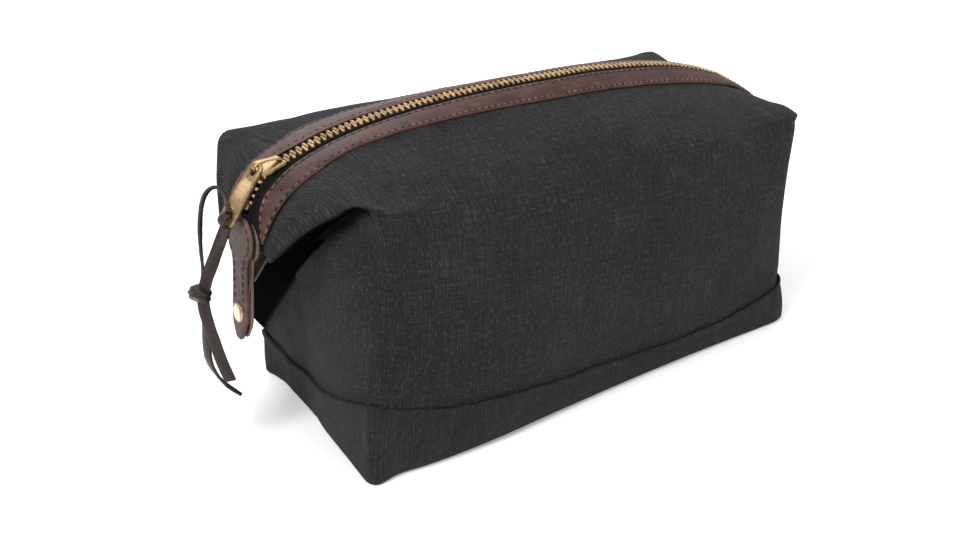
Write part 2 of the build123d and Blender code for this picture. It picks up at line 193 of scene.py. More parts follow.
def canvas_material():
    n = Nodes("canvas_charcoal")
    co = n.attr("cloth").outputs["Vector"]
    x, y, _ = n.xyz(co)
    wob = n.noise(co, 90.0, 2.0)
    wob = n.math("MULTIPLY", n.math("SUBTRACT", wob, 0.5), 0.0016)
    u, v = n.math("ADD", x, wob), n.math("ADD", y, wob)
    h, both, su, sv = weave(n, u, v, 0.00135, 0.00095)
    # single threads that differ in tone along their length
    warp = n.noise(n.vec(n.math("MULTIPLY", x, 900.0), n.math("MULTIPLY", y, 60.0), 0.0), 1.0, 2.0, 0.6)
    weft = n.noise(n.vec(n.math("MULTIPLY", x, 70.0), n.math("MULTIPLY", y, 1100.0), 3.0), 1.0, 2.0, 0.6)
    fleck = n.noise(n.vec(n.math("MULTIPLY", x, 800.0), n.math("MULTIPLY", y, 420.0), 9.0), 1.0, 1.0, 0.5)
    cloud = n.noise(co, 22.0, 4.0, 0.6)
    blotch = n.noise(co, 9.0, 3.0, 0.55)
    tone = n.math("ADD", n.math("MULTIPLY", warp, 0.34), n.math("MULTIPLY", weft, 0.31))
    tone = n.math("ADD", tone, n.math("MULTIPLY", cloud, 0.22))
    tone = n.math("ADD", tone, n.math("MULTIPLY", blotch, 0.13))
    base = n.ramp(tone, [(0.34, lin(21, 21, 22)), (0.5, lin(33, 33, 34)), (0.66, lin(52, 52, 53))])
    speck = n.remap(fleck, 0.56, 0.72, 0.0, 1.0)
    speck = n.math("MULTIPLY", speck, h)
    base = n.mix(n.math("MULTIPLY", speck, 0.42), base, lin(80, 80, 81))
    # painted shade between the threads: the canvas is darkened where the weave is low
    weave_gap_shade = n.remap(h, 0.0, 0.55, 0.62, 0.0)
    base = n.mix(weave_gap_shade, base, lin(14, 14, 15))
    # painted shade: inside the folds of the ends the canvas colour is mixed towards near black
    fold_shade = n.attr("fold_shade").outputs["Fac"]
    base = n.mix(n.math("MULTIPLY", fold_shade, 0.93, clamp=True), base, lin(5, 5, 6))
    height = n.math("ADD", h, n.math("MULTIPLY", warp, 0.5))
    bump = n.bump(height, 0.75, 0.00035)
    crease = n.bump(n.math("ADD", cloud, n.math("MULTIPLY", blotch, 1.2)), 0.5, 0.0009, bump)
    # the painted shade in the folds also cuts the canvas's spec and sheen
    lit = n.math("SUBTRACT", 1.0, fold_shade, clamp=True)
    return n.set(base=base, rough=0.9, spec=n.math("MULTIPLY", lit, 0.07), sheen=n.math("MULTIPLY", lit, 0.035), sheen_rough=0.5, normal=crease)


def lining_material():
    n = Nodes("lining_cotton")
    co = n.attr("cloth").outputs["Vector"]
    x, y, _ = n.xyz(co)
    h, both, su, sv = weave(n, x, y, 0.0006, 0.0006)
    t = n.noise(n.vec(n.math("MULTIPLY", x, 700.0), n.math("MULTIPLY", y, 80.0), 0.0), 1.0, 2.0)
    c = n.noise(co, 30.0, 3.0)
    base = n.ramp(n.math("ADD", n.math("MULTIPLY", t, 0.5), n.math("MULTIPLY", c, 0.5)),
                  [(0.35, lin(112, 100, 80)), (0.65, lin(140, 127, 104))])
    # painted shade between the threads: the lining is darkened where the weave is low
    base = n.mix(n.remap(h, 0.0, 0.5, 0.4, 0.0), base, lin(84, 74, 58))
    return n.set(base=base, rough=0.85, spec=0.2, normal=n.bump(h, 0.5, 0.0002))


def tape_material():
    n = Nodes("zip_tape_black")
    co = n.attr("cloth").outputs["Vector"]
    x, y, _ = n.xyz(co)
    d = n.math("SINE", n.math("MULTIPLY", n.math("ADD", x, n.math("MULTIPLY", y, 0.8)), 2 * math.pi / 0.0009))
    e_ = n.math("SINE", n.math("MULTIPLY", n.math("SUBTRACT", x, n.math("MULTIPLY", y, 0.8)), 2 * math.pi / 0.0009))
    h = n.math("MAXIMUM", d, e_)
    # painted shade between the threads: the tape is darker in the weave's valleys and lighter on its ridges
    base = n.ramp(h, [(0.3, lin(9, 9, 10)), (0.95, lin(25, 25, 27))])
    return n.set(base=base, rough=0.8, spec=0.08, normal=n.bump(h, 0.5, 0.0002))


def leather_material(name, dark, mid, light, edge, grain=900.0, rough=(0.34, 0.55), wear=0.5, coat=0.0):
    """Leather; the 'rim' attribute is 1 on cut edges and 0 on the faces."""
    n = Nodes(name)
    co = n.coords()
    pores = n.voronoi(co, grain, "DISTANCE_TO_EDGE")
    fine = n.noise(co, 1600.0, 3.0, 0.6)
    cloud = n.noise(co, 60.0, 4.0, 0.6)
    streak = n.noise(co, 240.0, 3.0, 0.6)
    tone = n.math("ADD", n.math("MULTIPLY", cloud, 0.55), n.math("MULTIPLY", streak, 0.3))
    tone = n.math("ADD", tone, n.math("MULTIPLY", fine, 0.15))
    base = n.ramp(tone, [(0.36, dark), (0.5, mid), (0.66, light)])
    rim = n.attr("rim").outputs["Fac"]
    edge_tone = n.mix(fine, tuple(c * 0.55 for c in edge), edge)
    base = n.mix(n.math("MULTIPLY", rim, wear, clamp=True), base, edge_tone)
    ro = n.remap(n.math("ADD", n.math("MULTIPLY", cloud, 0.6), n.math("MULTIPLY", fine, 0.4)), 0.3, 0.7, rough[0], rough[1])
    h = n.math("ADD", n.remap(pores, 0.0, 0.12, 0.0, 1.0), n.math("MULTIPLY", fine, 0.6))
    nb = n.bump(h, 0.35, 0.00012)
    nb = n.bump(n.math("ADD", cloud, streak), 0.35, 0.0004, nb)
    return n.set(base=base, rough=ro, spec=0.26, coat=coat, coat_rough=0.35, normal=nb)


def metal_material(name, dark, light, rough=(0.22, 0.4), brushed=None, dirt=0.5):
    n = Nodes(name)
    co = n.coords()
    f = n.noise(co, 500.0, 3.0, 0.6)
    c = n.noise(co, 120.0, 2.0, 0.5)
    tone = n.math("ADD", n.math("MULTIPLY", f, 0.5), n.math("MULTIPLY", c, 0.5))
    base = n.ramp(tone, [(0.35, dark), (0.62, light)])
    h = f
    if brushed:
        x, y, z = n.xyz(co)
        s = n.noise(n.vec(n.math("MULTIPLY", x, brushed[0]), n.math("MULTIPLY", y, brushed[1]), n.math("MULTIPLY", z, brushed[2])), 1.0, 2.0)
        base = n.mix(n.remap(s, 0.35, 0.65, 0.0, 0.5), base, dark)
        h = s
    ro = n.remap(tone, 0.35, 0.65, rough[0], rough[1])
    return n.set(base=base, metal=1.0, rough=ro, normal=n.bump(h, 0.18, 0.00008))


CANVAS = canvas_material()
LINING = lining_material()
TAPE = tape_material()
TRIM = leather_material("trim_leather_brown", lin(38, 22, 19), lin(58, 34, 30), lin(80, 52, 46), lin(84, 60, 52), wear=0.35, rough=(0.45, 0.65))
TABL = leather_material("tab_leather_brown", lin(38, 26, 25), lin(60, 43, 41), lin(88, 69, 65), lin(118, 92, 80), rough=(0.3, 0.5), wear=0.5)
LACEL = leather_material("lace_leather_dark", lin(8, 5, 5), lin(19, 12, 12), lin(48, 36, 34), lin(70, 54, 50), grain=1400.0, rough=(0.3, 0.5), wear=0.5)
BRASS = metal_material("brass_teeth", lin(116, 92, 64), lin(186, 158, 122), (0.34, 0.5))
BRASS_PULL = metal_material("brass_pull_brushed", lin(196, 164, 122), lin(232, 204, 164), (0.42, 0.55), brushed=(900.0, 60.0, 900.0))
CREAM = metal_material("rivet_pale_brass", lin(205, 190, 160), lin(240, 230, 205), (0.25, 0.4))


# ------------------------------------------------------------------ mesh helpers (all in mm, row frame)
def mesh_obj(name, verts, faces, mats, smooth=True, attrs=None, mat_index=None):
    me = bpy.data.meshes.new(name)
    me.from_pydata([tuple(np.asarray(v, float) * MM) for v in verts], [], [tuple(int(i) for i in f) for f in faces])
    me.validate()
    me.update()
    for m_ in (mats if isinstance(mats, (list, tuple)) else [mats]):
        me.materials.append(m_)
    if mat_index is not None:
        me.polygons.foreach_set("material_index", np.asarray(mat_index, np.int32))
    me.polygons.foreach_set("use_smooth", [smooth] * len(me.polygons))
    for k, val in (attrs or {}).items():
        val = np.asarray(val, np.float32)
        if val.ndim == 1:
            at = me.attributes.new(k, "FLOAT", "POINT")
            at.data.foreach_set("value", val)
        else:
            at = me.attributes.new(k, "FLOAT_VECTOR", "POINT")
            at.data.foreach_set("vector", val.ravel())
    ob = bpy.data.objects.new(name, me)
    bpy.context.scene.collection.objects.link(ob)
    return ob


def sharp_edges(ob, pairs):
    at = ob.data.attributes.get("sharp_edge") or ob.data.attributes.new("sharp_edge", "BOOLEAN", "EDGE")
    at.data.foreach_set("value", [tuple(sorted(e_.vertices)) in pairs for e_ in ob.data.edges])


def hermite(P, n, axis=0, closed=False):
    """Smooth curve through the control points along one axis, n samples between neighbours. No overshoot at sharp turns."""
    P = np.moveaxis(np.asarray(P, float), axis, 0)
    k = len(P)
    seg = np.sqrt(((P[1:] - P[:-1]) ** 2).sum(-1))
    while seg.ndim > 1:
        seg = seg.mean(-1)
    seg = np.maximum(seg, 1e-3)
    t = np.concatenate([[0], np.cumsum(seg)])
    d = (P[1:] - P[:-1]) / seg.reshape((-1,) + (1,) * (P.ndim - 1))
    T = np.zeros_like(P)
    T[0], T[-1] = d[0], d[-1]
    w = seg.reshape((-1,) + (1,) * (P.ndim - 1))
    T[1:-1] = (d[:-1] * w[1:] + d[1:] * w[:-1]) / (w[1:] + w[:-1])
    out = []
    for i in range(k - 1):
        for j in range(n):
            s = j / n
            h = seg[i]
            h00, h10 = 2 * s ** 3 - 3 * s ** 2 + 1, s ** 3 - 2 * s ** 2 + s
            h01, h11 = -2 * s ** 3 + 3 * s ** 2, s ** 3 - s ** 2
            out.append(h00 * P[i] + h10 * h * T[i] + h01 * P[i + 1] + h11 * h * T[i + 1])
    out.append(P[-1])
    return np.moveaxis(np.array(out), 0, axis)


def grid_normals(P):
    du = np.gradient(P, axis=1)
    dv = np.gradient(P, axis=0)
    n = np.cross(du, dv)
    return n / np.maximum(np.linalg.norm(n, axis=-1, keepdims=True), 1e-9)


def cloth_coords(P):
    """Flat coordinates of a grid, in metres: along the rows and down the columns, so that threads keep their spacing."""
    du = np.linalg.norm(np.diff(P, axis=1), axis=-1)
    dv = np.linalg.norm(np.diff(P, axis=0), axis=-1)
    mid = du[len(du) // 3]
    u = np.concatenate([[0], np.cumsum(mid)])
    v = np.concatenate([np.zeros((1, P.shape[1])), np.cumsum(dv, axis=0)], axis=0)
    U = np.repeat(u[None, :], P.shape[0], axis=0)
    return np.stack([U, v, np.zeros_like(v)], -1) * MM


def shell(name, P, thick, mats, normals=None, inner_mat=0, cloth=None, flip=False, fold_shade=None):
    """A closed thin cloth from a grid of points on its outer face."""
    nr, nc, _ = P.shape
    N = grid_normals(P) if normals is None else normals
    if flip:
        N = -N
    Q = P - N * thick
    V = np.concatenate([P.reshape(-1, 3), Q.reshape(-1, 3)])
    o = nr * nc
    idx = np.arange(o).reshape(nr, nc)
    F, M = [], []
    A, B, C, D = idx[:-1, :-1], idx[:-1, 1:], idx[1:, 1:], idx[1:, :-1]
    top = np.stack([A, B, C, D], -1).reshape(-1, 4)
    if flip:
        top = top[:, ::-1]
    F += top.tolist(); M += [0] * len(top)
    bot = top[:, ::-1] + o
    F += bot.tolist(); M += [inner_mat] * len(bot)
    ring = list(idx[0, :]) + list(idx[1:, -1]) + list(idx[-1, -2::-1]) + list(idx[-2:0:-1, 0])
    for i, j in zip(ring, ring[1:] + ring[:1]):
        f = [j, i, i + o, j + o]
        F.append(f[::-1] if flip else f); M.append(0)
    c = cloth_coords(P) if cloth is None else cloth
    c = np.concatenate([c.reshape(-1, 3)] * 2)
    at = {"cloth": c}
    # painted shade of the end folds, passed to the canvas material as a point attribute
    if fold_shade is not None:
        at["fold_shade"] = np.concatenate([fold_shade.ravel()] * 2)
    ob = mesh_obj(name, V, F, mats, attrs=at, mat_index=M)
    rim = set()
    for i, j in zip(ring, ring[1:] + ring[:1]):
        rim.add((min(i, j), max(i, j)))
        rim.add((min(i, j) + o, max(i, j) + o))
    sharp_edges(ob, rim)
    return ob


def on_arc(x, rr):
    """Height of the zip's arc of radius rr at x."""
    return -309.0 + math.sqrt(rr * rr - (x + 6.0) ** 2)


LIFT_X = [-160, -134, -124, -110, -95, -75, -50, -20, 5, 30, 52, 75, 94, 108, 120, 129, 140, 160]
LIFT_D = [0, 0, 0.7, 1.4, 1.0, -0.2, -1.8, -3.1, -3.4, -2.6, -1.8, -0.9, -0.5, -0.9, -2.0, -3.9, -7.0, -8.0]
_lift = hermite(np.stack([LIFT_X, LIFT_D], -1), 8)


def lift(x):
    """How far the soft top departs from the plain arc."""
    return float(np.interp(x, _lift[:, 0], _lift[:, 1]))


EDGE_X = [-126, -115, -102, -75, -45, -8, 32, 64, 88, 104, 120, 130]
EDGE_D = [-0.8, -0.3, -0.6, -1.8, -3.0, -4.0, -4.6, -4.8, -4.4, -3.7, -3.5, -4.4]
_edge = hermite(np.stack([EDGE_X, EDGE_D], -1), 8)


def edge_drop(x):
    return -float(np.interp(x, _edge[:, 0], _edge[:, 1]))


def trim_edge(x):
    """Height of the trims' outer edge at x."""
    return on_arc(x, 450.0) + lift(x) + float(np.interp(x, _edge[:, 0], _edge[:, 1]))


def clay(x, y, z, scale, seed):
    """Smooth repeatable noise in -1..1."""
    return noise.noise(Vector((x * scale + seed * 7.13, y * scale - seed * 3.7, z * scale + seed * 1.9)))


# ------------------------------------------------------------------ canvas shell
# control points of the front half, y negative in front; one column per line, rows from the floor edge up over the
# fold to the trim. Rows: floor edge, foot, seam, low wall, mid wall, high wall, crest, recess, under fold, fold, top, top, trim edge
def front_columns():
    c = []
    c.append([(-119.0, 0, 0.3), (-120.0, 0, 5), (-120.6, 0, 19), (-123.0, 0, 36), (-124.6, 0, 54), (-125.0, 0, 67), (-122.0, 0, 76), (-103.0, 0, 82), (-126.0, 0, 87.6), (-145.6, 0, 88.6), (-146.4, 0, 92.5), (-146.4, 0, 97), (-146.0, 0, 101.0)])
    c.append([(-121.8, -11, 0.3), (-122.6, -11, 5), (-123.0, -11, 22), (-124.6, -11, 38), (-126.0, -11, 55), (-126.4, -11, 71), (-124.2, -10.4, 86), (-105.0, -8, 90), (-127.0, -10, 90.4), (-146.6, -11.0, 89.2), (-147.4, -11.4, 92.5), (-147.2, -12.0, 97), (-146.8, -12.5, 101.0)])
    c.append([(-124.6, -27, 0.3), (-125.4, -27.2, 5), (-125.8, -27.2, 27), (-126.6, -27, 42), (-127.2, -26.6, 58), (-127.2, -25.6, 76), (-125.2, -23.0, 97.2), (-107.5, -16.5, 99), (-129.0, -17.0, 95.0), (-149.8, -19.0, 90.8), (-150.2, -19.2, 92.2), (-149.3, -18.8, 94.6), (-148.2, -18.4, 98.0)])
    c.append([(-126.6, -39, 0.3), (-127.4, -39.4, 5), (-127.2, -39.4, 31), (-127.2, -39.2, 46), (-127.4, -38.8, 62), (-127.2, -37.6, 82), (-125.4, -34.0, 105.6), (-111.5, -27.5, 107.0), (-129.0, -28.5, 105.6), (-143.2, -31.8, 105.2), (-144.0, -29.0, 107.2), (-144.2, -24.0, 108.6), (-143.8, -19.0, 109.2)])
    c.append([(-127.6, -48, 0.3), (-128.2, -48.8, 5), (-127.2, -49.0, 33.5), (-126.4, -49.0, 49), (-126.0, -48.6, 65), (-125.8, -47.4, 86), (-124.8, -44.0, 111.4), (-117.0, -40.0, 113.4), (-127.8, -41.2, 113.6), (-136.2, -42.6, 114.8), (-137.0, -37.5, 117.0), (-138.0, -29.0, 117.6), (-138.0, -19.2, 115.8)])
    c.append([(-127.8, -54, 0.3), (-128.2, -55.4, 5), (-126.4, -55.0, 34.5), (-124.8, -55.0, 50), (-123.8, -54.8, 66), (-123.4, -54.0, 88), (-124.0, -51.0, 115.2), (-123.2, -50.4, 117.2), (-127.2, -50.0, 118.6), (-130.4, -50.2, 120.4), (-130.8, -43.5, 121.6), (-130.8, -33.0, 122.4), (-130.6, -19.4, 119.9)])
    c.append([(-125.5, -57.4, 0.3), (-125.6, -58.8, 5), (-123.6, -58.8, 33.0), (-121.6, -58.6, 49), (-120.6, -58.4, 66), (-120.4, -57.8, 88), (-122.2, -56.4, 112.0), (-123.0, -56.4, 115.6), (-124.4, -56.2, 118.2), (-125.6, -56.0, 120.2), (-125.0, -49.0, 121.8), (-123.4, -36.5, 124.6), (-121.8, -19.5, 123.4)])
    c.append([(-117.0, -58.4, 0.3), (-116.6, -60.0, 5), (-114.6, -60.6, 28.5), (-113.6, -60.6, 45), (-113.2, -60.4, 62), (-113.2, -60.0, 84), (-114.6, -59.6, 106.0), (-115.2, -59.2, 110.6), (-115.8, -58.6, 114.4), (-116.2, -56.6, 118.0), (-115.2, -50.5, 120.6), (-113.4, -37.5, 124.8), (-112.0, -19.7, 126.8)])
    c.append([(-104.0, -59.4, 0.3), (-103.6, -61.4, 5), (-102.4, -61.8, 23.6), (-102.0, -62.0, 41), (-102.0, -61.8, 60), (-102.0, -61.4, 82), (-102.6, -60.4, 103.0), (-102.8, -59.6, 108.2), (-103.0, -58.0, 112.6), (-103.0, -55.0, 116.6), (-102.4, -49.0, 120.2), (-101.4, -37.5, 125.2), (-100.8, -19.9, 129.6)])
    c.append([(-86.0, -60.0, 0.3), (-86.0, -62.2, 5), (-85.4, -62.8, 18.4), (-85.2, -63.4, 38), (-85.2, -63.4, 58), (-85.2, -62.4, 80), (-85.2, -60.6, 101.0), (-85.2, -59.2, 106.4), (-85.2, -57.0, 111.0), (-85.2, -53.6, 115.2), (-85.0, -48.0, 119.0), (-84.8, -37.0, 125.0), (-84.6, -20.0, 131.6)])
    c.append([(-62.0, -59.4, 0.3), (-62.0, -61.8, 5), (-62.0, -62.4, 14.6), (-62.0, -63.8, 36), (-62.0, -64.0, 57), (-62.0, -62.8, 79), (-62.0, -60.4, 100.0), (-62.0, -58.6, 105.4), (-62.0, -56.0, 110.2), (-62.0, -52.2, 114.6), (-62.0, -46.8, 118.8), (-62.0, -36.0, 125.4), (-62.0, -20.0, 133.2)])
    c.append([(-32.0, -57.4, 0.3), (-32.0, -59.6, 5), (-32.0, -60.4, 12.9), (-32.0, -62.8, 35), (-32.0, -63.2, 56), (-32.0, -62.2, 78), (-32.0, -59.8, 99.0), (-32.0, -58.0, 104.6), (-32.0, -55.2, 109.6), (-32.0, -51.2, 114.2), (-32.0, -45.8, 118.6), (-32.0, -35.4, 125.6), (-32.0, -20.0, 134.2)])
    c.append([(0.0, -55.6, 0.3), (0.0, -57.6, 5), (0.0, -58.6, 12.2), (0.0, -61.0, 34), (0.0, -61.6, 55), (0.0, -61.0, 77), (0.0, -59.0, 98.4), (0.0, -57.2, 104.2), (0.0, -54.4, 109.4), (0.0, -50.4, 114.2), (0.0, -45.0, 118.8), (0.0, -35.0, 125.8), (0.0, -20.0, 134.0)])
    c.append([(34.0, -54.0, 0.3), (34.0, -55.8, 5), (34.0, -57.0, 12.2), (34.0, -59.4, 34), (34.0, -60.2, 55), (34.0, -60.0, 77), (34.0, -58.4, 98.4), (34.0, -56.8, 104.2), (34.0, -54.2, 109.4), (34.0, -50.2, 114.0), (34.0, -44.8, 118.4), (34.0, -34.8, 125.2), (34.0, -20.0, 132.6)])
    c.append([(68.0, -53.2, 0.3), (68.0, -54.6, 5), (68.0, -55.8, 13.6), (68.0, -57.8, 35), (68.0, -58.8, 56), (68.0, -58.6, 77), (68.0, -57.4, 98.6), (68.0, -56.2, 104.2), (68.0, -54.0, 109.2), (68.0, -50.4, 113.6), (68.0, -45.0, 117.4), (68.0, -35.0, 123.4), (68.0, -20.0, 129.4)])
    c.append([(94.0, -53.0, 0.3), (94.0, -54.2, 5), (94.0, -55.2, 16.4), (93.6, -56.6, 37), (93.4, -57.2, 57), (93.4, -57.2, 78), (93.8, -56.4, 99.2), (94.0, -55.6, 104.4), (94.0, -54.0, 109.2), (94.0, -51.2, 113.2), (94.0, -45.8, 116.4), (94.0, -35.4, 121.0), (94.0, -20.0, 125.8)])
    c.append([(112.0, -53.0, 0.3), (112.0, -54.0, 5), (111.0, -54.6, 20.6), (110.0, -55.2, 39), (109.4, -55.4, 58), (109.4, -55.4, 79), (110.4, -55.4, 101.0), (110.8, -55.0, 106.0), (111.2, -54.2, 110.2), (111.4, -52.4, 113.6), (110.6, -46.6, 116.0), (109.4, -36.0, 119.2), (108.2, -20.0, 121.8)])
    c.append([(122.0, -52.6, 0.3), (121.8, -53.4, 5), (119.0, -53.4, 24.6), (117.0, -53.4, 42), (116.0, -53.6, 60), (116.0, -54.0, 81), (118.0, -54.6, 104.0), (118.8, -54.4, 108.6), (119.6, -54.0, 112.0), (120.2, -53.0, 114.4), (118.8, -47.0, 115.8), (117.0, -36.0, 117.6), (115.6, -20.0, 118.4)])
    c.append([(127.4, -50.5, 0.3), (127.4, -50.8, 5), (123.4, -50.4, 26.0), (120.8, -50.4, 43), (119.6, -50.6, 61), (119.8, -51.0, 82), (121.8, -52.0, 106.0), (122.6, -52.0, 110.0), (123.4, -52.0, 112.8), (124.2, -51.6, 114.6), (123.6, -45.0, 115.2), (122.6, -34.0, 115.4), (121.6, -20.0, 114.2)])
    c.append([(128.2, -44.0, 0.3), (128.4, -44.4, 5), (125.4, -44.2, 25.0), (123.2, -44.0, 42), (122.2, -43.6, 60), (122.2, -43.0, 81), (122.0, -41.6, 103.4), (118.0, -41.0, 107.0), (123.4, -41.4, 109.0), (127.2, -42.0, 110.6), (128.0, -36.0, 111.0), (128.2, -28.0, 110.0), (127.6, -19.8, 108.2)])
    c.append([(127.0, -30.0, 0.3), (127.2, -30.2, 5), (125.4, -30.0, 21.0), (124.0, -30.0, 38), (123.2, -29.4, 57), (123.0, -28.0, 75), (121.4, -26.0, 94.6), (111.0, -24.4, 98.0), (121.0, -24.0, 96.6), (131.2, -25.0, 98.4), (132.2, -23.6, 99.8), (132.4, -21.6, 100.2), (132.0, -19.4, 100.4)])
    c.append([(125.0, -12.0, 0.3), (125.2, -12.0, 5), (124.2, -12.0, 18.0), (123.4, -12.0, 35), (122.6, -12.0, 54), (121.6, -11.6, 70), (118.6, -11.0, 84), (106.0, -10.0, 90), (118.0, -10.6, 89.4), (135.6, -11.6, 89.4), (136.0, -11.8, 92.6), (135.6, -12.2, 97), (135.0, -12.6, 101.0)])
    c.append([(124.0, 0.0, 0.3), (124.2, 0.0, 5), (123.4, 0.0, 17.0), (122.4, 0.0, 34), (121.2, 0.0, 52), (119.6, 0.0, 66), (115.6, 0.0, 77), (103.0, 0.0, 84), (117.0, 0.0, 87), (134.6, 0.0, 88.6), (134.8, 0.0, 92.5), (134.6, 0.0, 97), (134.2, 0.0, 101.0)])
    c = np.array(c, float).transpose(1, 0, 2)          # rows, columns, xyz
    # seam between the walls and the base band
    for col, z in enumerate([18.6, 20.2, 25.0, 29.2, 32.3, 34.2, 33.6, 31.0, 27.8, 24.4, 21.4, 18.4, 16.2, 14.0, 13.7, 15.8, 19.2, 21.6, 23.0]):
        c[2, col, 2] = z
    # edge under the trim
    for col, p in {2: (-149.0, -14.6, 97.6), 3: (-146.0, -15.6, 105.6), 4: (-141.4, -16.6, 112.6), 5: (-134.3, -17.2, 119.4), 6: (-125.0, -17.2, 123.8),
                   17: (116.5, -17.2, 118.6), 18: (122.5, -17.2, 116.2), 19: (129.2, -16.6, 112.0), 20: (133.8, -15.4, 105.4), 21: (136.2, -12.6, 100.4)}.items():
        c[12, col] = p
    for col in range(7, 17):
        x = c[12, col, 0]
        c[12, col] = (x, -17.2, trim_edge(x) - 0.45)
        c[11, col, 2] = min(c[11, col, 2], c[12, col, 2] - 0.4) if col > 13 else c[11, col, 2] - 0.3
    c[11, 2] = (-149.8, -17.2, 94.6)
    c[11, 3] = (-145.6, -22.0, 107.4)
    c[11, 4] = (-139.6, -27.4, 116.4)
    c[11, 19] = (129.6, -27.0, 111.6)
    c[11, 20] = (133.4, -20.4, 102.4)
    # right end and right front corner stand further out below the ear
    for col, d in {15: 0.6, 16: 2.2, 17: 3.6, 18: 4.6, 19: 4.8, 20: 4.0, 21: 2.5, 22: 2.0}.items():
        for row, k in enumerate((1.0, 0.95, 0.95, 0.95, 0.95, 0.8, 0.35)):
            c[row, col, 0] += d * k
    c[9, 18] = (123.4, -51.6, 113.6)
    c[8, 18] = (123.4, -52.4, 111.6)
    # front left corner of the floor
    c[0, 5] = (-129.7, -57.2, 0.3)
    c[1, 5] = (-129.3, -57.2, 5)
    c[0, 6] = (-127.6, -60.3, 0.3)
    c[1, 6] = (-127.0, -60.4, 5)
    c[0, 4] = (-128.6, -48.6, 0.3)
    return c


SEAM_ROW = 2


